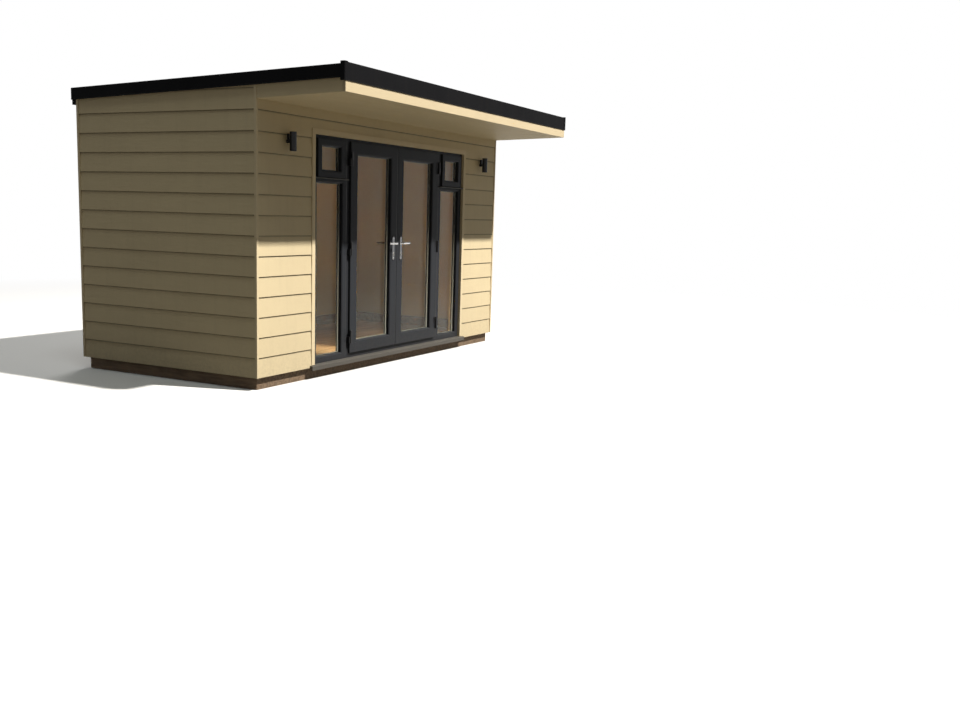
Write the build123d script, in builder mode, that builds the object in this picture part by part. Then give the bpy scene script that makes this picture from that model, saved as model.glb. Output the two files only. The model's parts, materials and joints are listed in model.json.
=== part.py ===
"""Garden office pod: a flat-roofed timber garden room with a deep front canopy and a French door set.

The room stands on a treated timber floor frame. Insulated wall panels carry a weatherboard skin outside,
and a single-fall roof panel lies on them and runs out over the front as a canopy. The front opening holds
three coupled plastic frames: a sidelight with a top-hung fanlight at each side, and a pair of outward-opening
doors between them.

Millimetres. +X is to the right seen from the front, +Y to the back, +Z up. The origin is the middle of the
footprint, on the ground under the middle joist.
"""

import os

from build123d import *

os.makedirs("parts", exist_ok=True)

# Building over its corner trims, and the front opening
width = 4060.0
depth = 1950.0
opening_width = 2580.0
head_wall = 178.0

# Floor
joist_depth = 95.0
joist_width = 45.0
joist_pitch = 400.0
floor_frame_inset = 43.0
deck_thickness = 18.0
laminate_thickness = 12.0

# Walls, from the outside in: trim face, weatherboards, insulated panel
cladding_setback = 3.0
cladding_thickness = 20.0
wall_panel = 127.0
cladding_gap = 5.0
corner_radius = 3.0
skirting_height = 100.0
skirting_thickness = 15.0
skirting_bevel = 8.0

# Roof: a single fall to the back
roof_fall = 1 / 33
soffit_thickness = 9.0
ceiling_thickness = 12.0
roof_thickness = 152.0
membrane_thickness = 2.0
membrane_drip = 10.0
canopy_reach = 810.0
fascia_thickness = 18.0
fascia_bevel = 3.0
cheek_setback = 5.0
kerb_width = 60.0
kerb_height = 34.0
front_kerb_rise = 12.0

# Black roof edge trims
trim_stand = 12.0
trim_sheet = 3.0
trim_nose = 8.0
trim_lip = 3.0
trim_lip_height = 5.0
side_trim_height = 99.0
front_trim_height = 132.0
cap_length = 40.0
cap_radius = 10.0
rear_fascia_height = 104.0
rear_packing = 25.0

# Opening trim
trim_board = 38.0
head_trim_board = 20.0
head_cover = 20.0
fitting_gap = 5.0

# Coupled frames
frame_recess = 28.0
frame_depth = 70.0
frame_face = 58.0
frame_height = 1953.0
sidelight_width = 481.0
stop_reach = 14.0
transom_height = 54.0
fanlight_height = 298.0
drip_reach = 28.0
drip_height = 12.0
drip_edge = 8.0

# Cill
cill_thickness = 27.0
cill_reach = 25.0
cill_horn = 60.0
cill_fall = 5.0
cill_nose_height = 38.0
cill_nose_depth = 14.0
cill_rounding = 6.0

# Door leaves and fanlight sashes
leaf_stand = 20.0
leaf_thickness = 70.0
leaf_overlap = 16.0
leaf_clearance = 6.0
leaf_face = 108.0
leaf_edge_bevel = 3.0
seal_gap = 5.0
meeting_gap = 8.0
meeting_setback = 5.0
sash_face = 60.0
sash_overlap = 12.0
sash_clearance = 4.0

# Glazing: bevelled leg outside, groove for the sealed unit, sloping bead inside
glass_setback = 30.0
glass_thickness = 28.0
glass_bite = 14.0
glass_edge_gap = 3.0
leg_bevel_width = 10.0
leg_bevel_depth = 6.0
bead_bevel_width = 8.0

# Hinges
pin_stand = 12.0
pin_offset = 2.0
barrel_radius = 9.0
barrel_length = 120.0
barrel_gap = 0.3
barrel_bevel = 2.0
hinge_plate = 28.0
hinge_sheet = 3.0
hinge_foot = 12.0
hinge_end = 150.0

# Lever handles
handle_rise = 1015.0
handle_inset = 62.0
plate_width = 32.0
plate_height = 220.0
plate_thickness = 9.0
plate_drop = 46.0
plate_bevel = 2.0
neck_radius = 9.5
lever_stand = 48.0
lever_length = 112.0
lever_root_height = 22.0
lever_root_depth = 16.0
lever_tip_height = 17.0
lever_tip_depth = 10.0
lever_bevel = 3.5
cylinder_drop = 92.0
cylinder_radius = 8.5
cylinder_tail = 10.0
cylinder_stand = 4.0

# Wall lamps
lamp_inset = 375.0
lamp_drop = 294.0
lamp_length = 150.0
lamp_radius = 28.0
lamp_wall = 2.5
lamp_recess = 10.0
lamp_stand = 60.0
lamp_arm_radius = 13.0
rose_radius = 46.0
rose_rim = 5.0
rose_depth = 20.0

# Rainwater goods
gutter_radius = 38.0
gutter_wall = 3.0
gutter_bead = 4.0
gutter_drop = 6.0
bracket_width = 30.0
bracket_inset = 150.0
brackets = 6
pipe_radius = 25.0
pipe_wall = 3.0
pipe_inset = 240.0
pipe_foot = 90.0
pipe_stand = 18.0
outlet_length = 60.0
swan_neck_length = 90.0
shoe_reach = 60.0
socket_wall = 3.5
socket_length = 55.0
clip_width = 24.0
clip_wall = 4.0
clip_end = 260.0

# Main planes
x_left = -width / 2
x_right = width / 2
y_front = -depth / 2
y_back = depth / 2
cladding_total = cladding_setback + cladding_thickness
wall_total = cladding_total + wall_panel
cladding_bottom = joist_depth + cladding_gap
floor_level = joist_depth + deck_thickness + laminate_thickness
opening_left = -opening_width / 2
opening_right = opening_width / 2
frame_front = y_front + frame_recess
frame_back = frame_front + frame_depth
cill_top = joist_depth + cill_thickness
frame_bottom = cill_top
frame_top = frame_bottom + frame_height
opening_top = frame_top + fitting_gap
soffit_height = opening_top + head_wall
leaf_front = frame_front - leaf_stand
leaf_back = leaf_front + leaf_thickness


def roof_line(y, above=0.0):
    """Height of the roof panel's underside at y, or a height above it."""
    return soffit_height + soffit_thickness - roof_fall * (y - y_front) + above


def span(a, b):
    """Two values in rising order."""
    return min(a, b), max(a, b)


def block(x0, x1, y0, y1, z0, z1, mode=Mode.ADD):
    """A plain block between two corners."""
    with Locations(((x0 + x1) / 2, (y0 + y1) / 2, (z0 + z1) / 2)):
        Box(x1 - x0, y1 - y0, z1 - z0, mode=mode)


def along_x(x0, x1, points, mode=Mode.ADD):
    """A section of (y, z) points drawn across the building and extruded from x0 to x1."""
    with BuildSketch(Plane.YZ.offset(x0)) as section:
        with BuildLine():
            Polyline(*points, close=True)
        make_face()
    extrude(section.sketch, amount=x1 - x0, mode=mode)


def sloping_slab(x0, x1, y0, y1, low, high):
    """A slab with plumb ends that follows the roof's fall, from low to high above the panel's underside."""
    along_x(
        x0,
        x1,
        [
            (y0, roof_line(y0, low)),
            (y1, roof_line(y1, low)),
            (y1, roof_line(y1, high)),
            (y0, roof_line(y0, high)),
        ],
    )


def wall_under_roof(x0, x1, y0, y1, bottom, above=0.0):
    """An upright block with a level foot and a top cut to the roof's fall."""
    along_x(x0, x1, [(y0, bottom), (y1, bottom), (y1, roof_line(y1, above)), (y0, roof_line(y0, above))])


def sweep_round(plane, a0, a1, b0, b1, section, mode=Mode.ADD):
    """Sweep a mitred section round a rectangle on plane; its points are (inward, behind the plane)."""
    middle = (a0 + a1) / 2
    with BuildLine(plane) as path:
        Polyline((middle, b0), (a0, b0), (a0, b1), (a1, b1), (a1, b0), (middle, b0))
    start = plane.from_local_coords((middle, b0, 0))
    with BuildSketch(Plane(origin=start, x_dir=plane.y_dir, z_dir=-plane.x_dir)) as profile:
        with BuildLine():
            Polyline(*section, close=True)
        make_face()
    sweep(profile.sketch, path=path.wires()[0], transition=Transition.RIGHT, mode=mode)


def keep(piece, name):
    """Label a finished piece and write it."""
    piece.part.label = name
    export_step(piece.part, f"parts/{name}.step")


# Floor frame: a rim of joists with the others between them, one under the middle of the room
with BuildPart() as floor_frame:
    rim_left = x_left + floor_frame_inset
    rim_right = x_right - floor_frame_inset
    rim_front = y_front + floor_frame_inset
    rim_back = y_back - floor_frame_inset
    block(rim_left, rim_right, rim_front, rim_front + joist_width, 0, joist_depth)
    block(rim_left, rim_right, rim_back - joist_width, rim_back, 0, joist_depth)
    block(rim_left, rim_left + joist_width, rim_front, rim_back, 0, joist_depth)
    block(rim_right - joist_width, rim_right, rim_front, rim_back, 0, joist_depth)
    joists_each_side = int((rim_right - joist_width * 1.5) / joist_pitch)
    with GridLocations(joist_pitch, 0, 2 * joists_each_side + 1, 1):
        with Locations((0, 0, joist_depth / 2)):
            Box(joist_width, rim_back - rim_front, joist_depth)
keep(floor_frame, "floor_frame")


def floor_layer(bottom, top):
    """A floor layer inside the walls, with a tongue up to the door frame."""
    block(x_left + wall_total, x_right - wall_total, y_front + wall_total, y_back - wall_total, bottom, top)
    block(opening_left, opening_right, frame_back, y_front + wall_total, bottom, top)


with BuildPart() as floor_deck:
    floor_layer(joist_depth, joist_depth + deck_thickness)
keep(floor_deck, "floor_deck")

with BuildPart() as laminate_floor:
    floor_layer(joist_depth + deck_thickness, floor_level)
keep(laminate_floor, "laminate_floor")

# Wall panels: battens, studs with insulation and lining board, as one thickness
side_wall_run = (y_front + cladding_total, y_back - cladding_total)
with BuildPart() as left_wall:
    wall_under_roof(x_left + cladding_total, x_left + wall_total, *side_wall_run, joist_depth)
keep(left_wall, "left_wall")

with BuildPart() as right_wall:
    wall_under_roof(x_right - wall_total, x_right - cladding_total, *side_wall_run, joist_depth)
keep(right_wall, "right_wall")

with BuildPart() as back_wall:
    wall_under_roof(
        x_left + wall_total, x_right - wall_total, y_back - wall_total, y_back - cladding_total, joist_depth
    )
keep(back_wall, "back_wall")

front_panel = (y_front + cladding_total, y_front + wall_total)
with BuildPart() as front_wall_left:
    wall_under_roof(x_left + wall_total, opening_left, *front_panel, joist_depth)
keep(front_wall_left, "front_wall_left")

with BuildPart() as front_wall_right:
    wall_under_roof(opening_right, x_right - wall_total, *front_panel, joist_depth)
keep(front_wall_right, "front_wall_right")

with BuildPart() as front_wall_head:
    wall_under_roof(opening_left, opening_right, *front_panel, opening_top)
keep(front_wall_head, "front_wall_head")

# Weatherboard skins, out to the boards' lower edges
with BuildPart() as left_cladding:
    left_skin = (x_left + cladding_setback, x_left + cladding_total)
    wall_under_roof(*left_skin, *side_wall_run, cladding_bottom, roof_thickness)
keep(left_cladding, "left_cladding")

with BuildPart() as right_cladding:
    right_skin = (x_right - cladding_total, x_right - cladding_setback)
    wall_under_roof(*right_skin, *side_wall_run, cladding_bottom, roof_thickness)
keep(right_cladding, "right_cladding")

with BuildPart() as back_cladding:
    wall_under_roof(
        x_left + cladding_total,
        x_right - cladding_total,
        y_back - cladding_total,
        y_back - cladding_setback,
        cladding_bottom,
        roof_thickness,
    )
keep(back_cladding, "back_cladding")

front_skin = (y_front + cladding_setback, y_front + cladding_total)
with BuildPart() as front_cladding_sides:
    for x0, x1 in (
        (x_left + cladding_total, opening_left - trim_board),
        (opening_right + trim_board, x_right - cladding_total),
    ):
        wall_under_roof(x0, x1, *front_skin, cladding_bottom, -soffit_thickness)
keep(front_cladding_sides, "front_cladding_sides")

with BuildPart() as front_cladding_head:
    wall_under_roof(
        opening_left - trim_board,
        opening_right + trim_board,
        *front_skin,
        opening_top + head_trim_board,
        -soffit_thickness,
    )
keep(front_cladding_head, "front_cladding_head")

# Corner trims: a rounded upright at each corner that the boards butt against
with BuildPart() as corner_trims:
    for x0, corner_x in ((x_left, x_left), (x_right - cladding_total, x_right)):
        for y0, corner_y in ((y_front, y_front), (y_back - cladding_total, y_back)):
            wall_under_roof(
                x0, x0 + cladding_total, y0, y0 + cladding_total, cladding_bottom, roof_thickness
            )
            uprights = corner_trims.edges().filter_by(Axis.Z)
            arris = uprights.sort_by_distance((corner_x, corner_y, cladding_bottom))[:1]
            fillet(arris, corner_radius)
keep(corner_trims, "corner_trims")

# Opening trim: boards round the opening, and a lining back to the frames that covers some of their heads
with BuildPart() as opening_trim:
    lining_left = opening_left + fitting_gap
    lining_right = opening_right - fitting_gap
    for back, board, head in (
        (y_front + cladding_total, trim_board, head_trim_board),
        (frame_front, 0.0, 0.0),
    ):
        with BuildSketch(Plane.XZ.offset(-back)):
            with BuildLine():
                Polyline(
                    (opening_left - board, cill_top),
                    (opening_left - board, opening_top + head),
                    (opening_right + board, opening_top + head),
                    (opening_right + board, cill_top),
                    (lining_right, cill_top),
                    (lining_right, frame_top - head_cover),
                    (lining_left, frame_top - head_cover),
                    (lining_left, cill_top),
                    close=True,
                )
            make_face()
        extrude(amount=back - y_front)
keep(opening_trim, "opening_trim")

# Roof panel: one sloping slab from the canopy's edge to the back, with kerbs along three sides
canopy_front = y_front - canopy_reach
panel_front = canopy_front + fascia_thickness
panel_back = y_back - cladding_total
front_kerb_back = canopy_front + cap_length - trim_stand - trim_lip
front_kerb_top = roof_line(canopy_front, roof_thickness + kerb_height + front_kerb_rise)
roof_back = y_back + rear_packing + fascia_thickness
with BuildPart() as roof_panel:
    panel_x = (x_left + cladding_total, x_right - cladding_total)
    sloping_slab(*panel_x, panel_front, panel_back, 0, roof_thickness)
    for x0 in (x_left, x_right - kerb_width):
        sloping_slab(
            x0, x0 + kerb_width, front_kerb_back, roof_back, roof_thickness, roof_thickness + kerb_height
        )
    along_x(
        x_left,
        x_right,
        [
            (canopy_front, roof_line(canopy_front, roof_thickness)),
            (front_kerb_back, roof_line(front_kerb_back, roof_thickness)),
            (front_kerb_back, front_kerb_top),
            (canopy_front, front_kerb_top),
        ],
    )
keep(roof_panel, "roof_panel")

# Membrane: one sheet between the kerbs, over the rear fascia and down into the gutter
with BuildPart() as roof_membrane:
    low = roof_thickness
    high = roof_thickness + membrane_thickness
    drip_back = roof_back + membrane_thickness
    along_x(
        x_left + kerb_width,
        x_right - kerb_width,
        [
            (front_kerb_back, roof_line(front_kerb_back, low)),
            (front_kerb_back, roof_line(front_kerb_back, high)),
            (drip_back, roof_line(drip_back, high)),
            (drip_back, roof_line(drip_back, low - membrane_drip)),
            (roof_back, roof_line(drip_back, low - membrane_drip)),
            (roof_back, roof_line(roof_back, low)),
        ],
    )
keep(roof_membrane, "roof_membrane")


# Side trims: a black profile hooked over the kerb, with a round nose and a drip lip
def side_trim(outer, inward):
    """The trim's section swept down the roof's fall; outer is the wall's face and inward the way in."""
    top = roof_line(front_kerb_back, roof_thickness + kerb_height + trim_sheet)
    seat = roof_line(front_kerb_back, roof_thickness + membrane_thickness)
    bottom = top - side_trim_height
    face = outer - inward * trim_stand
    kerb_side = outer + inward * kerb_width
    with BuildSketch(Plane.XZ.offset(-front_kerb_back)) as section:
        with BuildLine():
            Polyline(
                (outer, bottom),
                (face - inward * trim_lip, bottom),
                (face - inward * trim_lip, bottom + trim_lip_height),
                (face, bottom + trim_lip_height + trim_lip),
                (face, top),
                (kerb_side + inward * trim_sheet, top),
                (kerb_side + inward * trim_sheet, seat),
                (kerb_side, seat),
                (kerb_side, top - trim_sheet),
                (outer, top - trim_sheet),
                close=True,
            )
        make_face()
        fillet(section.vertices().sort_by_distance((face, top))[:1], trim_nose)
    extrude(section.sketch, amount=roof_back - front_kerb_back, dir=(0, 1, -roof_fall))


with BuildPart() as roof_trim_sides:
    side_trim(x_left, 1)
    side_trim(x_right, -1)
keep(roof_trim_sides, "roof_trim_sides")

# Front trim: deeper than the side trims, with a moulded cap turned round each corner
with BuildPart() as roof_trim_front:
    trim_top = front_kerb_top + trim_sheet
    trim_bottom = trim_top - front_trim_height
    trim_face = canopy_front - trim_stand
    with BuildSketch(Plane.YZ.offset(x_left)) as front_section:
        with BuildLine():
            Polyline(
                (canopy_front, trim_bottom),
                (trim_face - trim_lip, trim_bottom),
                (trim_face - trim_lip, trim_bottom + trim_lip_height),
                (trim_face, trim_bottom + trim_lip_height + trim_lip),
                (trim_face, trim_top),
                (front_kerb_back, trim_top),
                (front_kerb_back, front_kerb_top),
                (canopy_front, front_kerb_top),
                close=True,
            )
        make_face()
        fillet(front_section.vertices().sort_by_distance((trim_face, trim_top))[:1], trim_nose)
    extrude(amount=width)
    cap_outer = trim_stand + trim_lip
    for corner, inward in ((x_left, 1), (x_right, -1)):
        cap_x = span(corner - inward * cap_outer, corner - inward * cap_outer + inward * cap_length)
        with BuildSketch(Plane.XY.offset(trim_bottom)) as cap_plan:
            with BuildLine():
                Polyline(
                    (corner - inward * cap_outer, canopy_front - cap_outer),
                    (corner - inward * cap_outer + inward * cap_length, canopy_front - cap_outer),
                    (corner - inward * cap_outer + inward * cap_length, canopy_front),
                    (corner, canopy_front),
                    (corner, front_kerb_back),
                    (corner - inward * cap_outer, front_kerb_back),
                    close=True,
                )
            make_face()
            cap_corner = (corner - inward * cap_outer, canopy_front - cap_outer)
            fillet(cap_plan.vertices().sort_by_distance(cap_corner)[:1], cap_radius)
        extrude(amount=front_trim_height)
        with BuildSketch(Plane.XY.offset(trim_top)) as cap_top:
            with Locations(((cap_x[0] + cap_x[1]) / 2, (canopy_front - cap_outer + front_kerb_back) / 2)):
                Rectangle(cap_length, front_kerb_back - canopy_front + cap_outer)
            fillet(cap_top.vertices().sort_by_distance(cap_corner)[:1], cap_radius)
        extrude(amount=trim_sheet)
keep(roof_trim_front, "roof_trim_front")

# Rear fascia: black board on packing, behind the gutter
fascia_top = roof_line(y_back, roof_thickness)
with BuildPart() as rear_fascia:
    wall_under_roof(x_left, x_right, y_back, roof_back, fascia_top - rear_fascia_height, roof_thickness)
keep(rear_fascia, "rear_fascia")

# Canopy lining: soffit under the panel, fascia across the front, a cheek at each side
with BuildPart() as canopy_soffit:
    sloping_slab(
        x_left + cladding_total,
        x_right - cladding_total,
        panel_front,
        y_front + cladding_total,
        -soffit_thickness,
        0,
    )
keep(canopy_soffit, "canopy_soffit")

with BuildPart() as canopy_fascia:
    block(
        x_left + cheek_setback,
        x_right - cheek_setback,
        canopy_front,
        panel_front,
        roof_line(panel_front, -soffit_thickness),
        roof_line(panel_front, roof_thickness),
    )
    front_face = canopy_fascia.faces().sort_by(Axis.Y)[0]
    chamfer(front_face.edges().sort_by(Axis.Z)[:1], fascia_bevel)
keep(canopy_fascia, "canopy_fascia")

with BuildPart() as canopy_cheeks:
    for x0 in (x_left + cheek_setback, x_right - cladding_total):
        sloping_slab(
            x0,
            x0 + cladding_total - cheek_setback,
            panel_front,
            y_front,
            -soffit_thickness,
            roof_thickness,
        )
keep(canopy_cheeks, "canopy_cheeks")

# Inside: ceiling board and skirting
with BuildPart() as ceiling:
    inside_x = (x_left + wall_total, x_right - wall_total)
    inside_y = (y_front + wall_total, y_back - wall_total)
    sloping_slab(*inside_x, *inside_y, -ceiling_thickness, 0)
keep(ceiling, "ceiling")

with BuildPart() as skirting:
    sweep_round(
        Plane.XY.offset(floor_level),
        x_left + wall_total,
        x_right - wall_total,
        y_front + wall_total,
        y_back - wall_total,
        [
            (0, 0),
            (skirting_thickness, 0),
            (skirting_thickness, skirting_bevel - skirting_height),
            (skirting_thickness - skirting_bevel, -skirting_height),
            (0, -skirting_height),
        ],
    )
    block(
        opening_left,
        opening_right,
        y_front + wall_total,
        y_front + wall_total + skirting_thickness,
        floor_level,
        floor_level + skirting_height,
        mode=Mode.SUBTRACT,
    )
keep(skirting, "skirting")

# Cill: under all three frames, sloping to a nose, with a horn past the opening at each end
with BuildPart() as cill:
    nose_front = y_front - cill_reach
    nose_top = cill_top - cill_fall
    along_x(
        opening_left - cill_horn,
        opening_right + cill_horn,
        [
            (nose_front, nose_top - cill_nose_height),
            (nose_front + cill_nose_depth, nose_top - cill_nose_height),
            (nose_front + cill_nose_depth, joist_depth),
            (frame_back, joist_depth),
            (frame_back, cill_top),
            (frame_front, cill_top),
            (nose_front, nose_top),
        ],
    )
    long_edges = cill.edges().filter_by(Axis.X)
    nose_edge = long_edges.sort_by_distance((0, nose_front, nose_top))[:1]
    fillet(nose_edge, cill_rounding)
    for x0 in (opening_left - cill_horn, opening_right):
        block(
            x0,
            x0 + cill_horn,
            y_front + cladding_setback,
            frame_back,
            joist_depth,
            cill_top,
            mode=Mode.SUBTRACT,
        )
keep(cill, "cill")

# Coupled frames: the stop that a sash or leaf closes against stands past the face's inner edge
sidelight_left = opening_left + fitting_gap
door_frame_left = sidelight_left + sidelight_width
door_frame_right = opening_right - fitting_gap - sidelight_width
light_bottom = frame_bottom + frame_face
transom_high = frame_top - frame_face - fanlight_height
transom_low = transom_high - transom_height
stop_front = leaf_back + seal_gap


def glazing_cuts(x0, x1, z0, z1, front, back):
    """Shape the members round a clear opening: bevelled leg, groove for the unit and sloping bead."""
    unit_front = glass_setback
    unit_back = unit_front + glass_thickness
    member = back - front
    past = 1.0
    leg_slope = leg_bevel_depth / leg_bevel_width
    leg_reach = -leg_bevel_width - past / leg_slope
    bead_slope = (member - unit_back) / bead_bevel_width
    for section in (
        [(past, -past), (past, leg_bevel_depth + past * leg_slope), (leg_reach, -past)],
        [(past, unit_front), (-glass_bite, unit_front), (-glass_bite, unit_back), (past, unit_back)],
        [
            (past, unit_back - past * bead_slope),
            (-bead_bevel_width - past / bead_slope, member + past),
            (past, member + past),
        ],
    ):
        sweep_round(Plane.XZ.offset(-front), x0, x1, z0, z1, section, mode=Mode.SUBTRACT)


def glass_unit(x0, x1, z0, z1, front):
    """A sealed unit in the groove round a clear opening, behind the front of its members."""
    edge = glass_bite - glass_edge_gap
    outside = front + glass_setback
    block(x0 - edge, x1 + edge, outside, outside + glass_thickness, z0 - edge, z1 + edge)


for side, x0 in (("left", sidelight_left), ("right", door_frame_right)):
    x1 = x0 + sidelight_width
    light = (x0 + frame_face, x1 - frame_face, light_bottom, transom_low)
    with BuildPart() as sidelight_frame:
        block(x0, x1, frame_front, frame_back, frame_bottom, frame_top)
        block(light[0], light[1], frame_front, frame_back, light[2], light[3], mode=Mode.SUBTRACT)
        vent = (transom_high, frame_top - frame_face)
        block(light[0], light[1], frame_front, stop_front, *vent, mode=Mode.SUBTRACT)
        block(
            light[0] + stop_reach,
            light[1] - stop_reach,
            stop_front,
            frame_back,
            vent[0] + stop_reach,
            vent[1] - stop_reach,
            mode=Mode.SUBTRACT,
        )
        glazing_cuts(*light, frame_front, frame_back)
        drip_top = transom_high - sash_overlap
        along_x(
            x0,
            x1,
            [
                (frame_front, drip_top - drip_height),
                (frame_front, drip_top),
                (frame_front - drip_reach, drip_top - drip_height + drip_edge),
                (frame_front - drip_reach, drip_top - drip_height),
            ],
        )
    keep(sidelight_frame, f"sidelight_frame_{side}")

with BuildPart() as door_frame:
    sweep_round(
        Plane.XZ.offset(-frame_front),
        door_frame_left,
        door_frame_right,
        frame_bottom,
        frame_top,
        [
            (0, 0),
            (frame_face, 0),
            (frame_face, stop_front - frame_front),
            (frame_face + stop_reach, stop_front - frame_front),
            (frame_face + stop_reach, frame_depth),
            (0, frame_depth),
        ],
    )
keep(door_frame, "door_frame")

with BuildPart() as sidelight_glass:
    for x0 in (sidelight_left, door_frame_right):
        glass_x = (x0 + frame_face, x0 + sidelight_width - frame_face)
        glass_unit(*glass_x, light_bottom, transom_low, frame_front)
keep(sidelight_glass, "sidelight_glass")


def casement(x0, x1, z0, z1, flange_back, body_x, body_z, face):
    """A sash or leaf: a bevelled flange over the frame, a body inside it, and a glazed opening."""
    flange = (x1 - x0, z1 - z0)
    with BuildSketch(Plane.XZ.offset(-flange_back)) as plate:
        with Locations(((x0 + x1) / 2, (z0 + z1) / 2)):
            Rectangle(*flange)
    extrude(plate.sketch, amount=flange_back - leaf_front - leaf_edge_bevel)
    with BuildSketch(Plane.XZ.offset(-leaf_front - leaf_edge_bevel)) as bevel:
        with Locations(((x0 + x1) / 2, (z0 + z1) / 2)):
            Rectangle(*flange)
    extrude(bevel.sketch, amount=leaf_edge_bevel, taper=45)
    block(*body_x, flange_back, leaf_back, *body_z)
    block(x0 + face, x1 - face, leaf_front, leaf_back, z0 + face, z1 - face, mode=Mode.SUBTRACT)
    glazing_cuts(x0 + face, x1 - face, z0 + face, z1 - face, leaf_front, leaf_back)


# Fanlight sashes: they close against the frame's face
sash_bottom = transom_high - sash_overlap
sash_top = frame_top - frame_face + sash_overlap
sash_inset = sash_overlap + sash_clearance
sashes = [
    (x0 + frame_face - sash_overlap, x0 + sidelight_width - frame_face + sash_overlap)
    for x0 in (sidelight_left, door_frame_right)
]
with BuildPart() as fanlight_sashes:
    for low, high in sashes:
        casement(
            low,
            high,
            sash_bottom,
            sash_top,
            frame_front,
            (low + sash_inset, high - sash_inset),
            (sash_bottom + sash_inset, sash_top - sash_inset),
            sash_face,
        )
keep(fanlight_sashes, "fanlight_sashes")

with BuildPart() as fanlight_glass:
    for low, high in sashes:
        glass_z = (sash_bottom + sash_face, sash_top - sash_face)
        glass_unit(low + sash_face, high - sash_face, *glass_z, leaf_front)
keep(fanlight_glass, "fanlight_glass")

# Door leaves: hung on the outer edges, meeting in the middle with a straight gap
leaf_edge_left = door_frame_left + frame_face - leaf_overlap
leaf_edge_right = door_frame_right - frame_face + leaf_overlap
leaf_width = -meeting_gap / 2 - leaf_edge_left
leaf_bottom = frame_bottom + frame_face - leaf_overlap
leaf_top = frame_top - frame_face + leaf_overlap
leaf_inset = leaf_overlap + leaf_clearance
leaf_middle = (leaf_bottom + leaf_top) / 2
handle_height = floor_level + handle_rise
pin_y = leaf_front - pin_stand
barrel_starts = [
    middle - barrel_length / 2 for middle in (leaf_bottom + hinge_end, leaf_middle, leaf_top - hinge_end)
]

def barrel(pin_x, inner, outer):
    """Half of a hinge's barrel, from its inner end at the joint to its bevelled outer end."""
    way = 1 if outer > inner else -1
    length = abs(outer - inner) - barrel_bevel
    with BuildSketch(Plane(origin=(pin_x, pin_y, inner), z_dir=(0, 0, way))) as shank:
        Circle(barrel_radius)
    extrude(shank.sketch, amount=length)
    with BuildSketch(Plane(origin=(pin_x, pin_y, inner + way * length), z_dir=(0, 0, way))) as tip:
        Circle(barrel_radius)
    extrude(tip.sketch, amount=barrel_bevel, taper=45)


for side, hinge_x, inward in (("left", leaf_edge_left, 1), ("right", leaf_edge_right, -1)):
    leaf_x = span(hinge_x, hinge_x + inward * leaf_width)
    body_x = span(hinge_x + inward * leaf_inset, hinge_x + inward * (leaf_width - meeting_setback))
    with BuildPart() as door_leaf:
        casement(
            *leaf_x,
            leaf_bottom,
            leaf_top,
            frame_front - seal_gap,
            body_x,
            (leaf_bottom + leaf_inset, leaf_top - leaf_inset),
            leaf_face,
        )
    keep(door_leaf, f"{side}_door_leaf")

    with BuildPart() as door_glass:
        glass_x = (leaf_x[0] + leaf_face, leaf_x[1] - leaf_face)
        glass_unit(*glass_x, leaf_bottom + leaf_face, leaf_top - leaf_face, leaf_front)
    keep(door_glass, f"{side}_door_glass")

    # Lever handles outside and inside, on long plates over the lock
    handle_x = hinge_x + inward * (leaf_width - handle_inset)
    with BuildPart() as door_handles:
        for face_y, outward in ((leaf_front, -1), (leaf_back, 1)):
            face_plane = Plane(origin=(0, face_y, 0), x_dir=(-outward, 0, 0), z_dir=(0, outward, 0))
            local_x = -outward * handle_x
            with BuildSketch(face_plane) as back_plate:
                with Locations((local_x, handle_height - plate_drop)):
                    SlotOverall(plate_height, plate_width, rotation=90)
            extrude(amount=plate_thickness)
            plate_face = door_handles.faces().filter_by(Axis.Y).sort_by(Axis.Y)[0 if outward < 0 else -1]
            chamfer(plate_face.edges(), plate_bevel)
            with BuildSketch(face_plane):
                with Locations((local_x, handle_height)):
                    Circle(neck_radius)
            extrude(amount=lever_stand)
            lever_y = face_y + outward * lever_stand
            for distance, high, deep in (
                (neck_radius + 1, lever_root_height, lever_root_depth),
                (-lever_length, lever_tip_height, lever_tip_depth),
            ):
                end = (handle_x + inward * distance, lever_y, handle_height)
                with BuildSketch(Plane(origin=end, x_dir=(0, 1, 0), z_dir=(inward, 0, 0))) as lever_end:
                    Rectangle(deep, high)
                    chamfer(lever_end.vertices(), lever_bevel)
            loft()
            with BuildSketch(face_plane):
                with Locations((local_x, handle_height - cylinder_drop)):
                    Circle(cylinder_radius)
                with Locations((local_x, handle_height - cylinder_drop - cylinder_tail)):
                    SlotOverall(2 * cylinder_tail + cylinder_radius, cylinder_tail, rotation=90)
            extrude(amount=plate_thickness + cylinder_stand)
    keep(door_handles, f"{side}_door_handles")

    # The leaf's halves of its three hinges: a plate on the face and the upper part of each barrel
    pin_x = hinge_x - inward * pin_offset
    with BuildPart() as leaf_halves:
        for start in barrel_starts:
            low = start + (barrel_length + barrel_gap) / 2
            high = start + barrel_length
            plate_x = span(pin_x, pin_x + inward * (barrel_radius + hinge_plate))
            block(*plate_x, leaf_front - hinge_sheet, leaf_front, low, high - barrel_bevel)
            neck_x = span(pin_x, pin_x + inward * barrel_radius)
            block(*neck_x, pin_y, leaf_front, low, high - barrel_bevel)
            barrel(pin_x, low, high)
    keep(leaf_halves, f"{side}_hinge_leaf_halves")

# The frame's halves of all six hinges: a foot on the jamb and the lower part of each barrel
with BuildPart() as hinge_frame_halves:
    for hinge_x, inward in ((leaf_edge_left, 1), (leaf_edge_right, -1)):
        pin_x = hinge_x - inward * pin_offset
        for start in barrel_starts:
            low = start
            high = start + (barrel_length - barrel_gap) / 2
            foot_x = span(pin_x - inward * barrel_radius / 2, pin_x - inward * (barrel_radius + hinge_foot))
            block(*foot_x, pin_y, frame_front, low + barrel_bevel, high)
            barrel(pin_x, high, low)
keep(hinge_frame_halves, "hinge_frame_halves")

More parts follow.
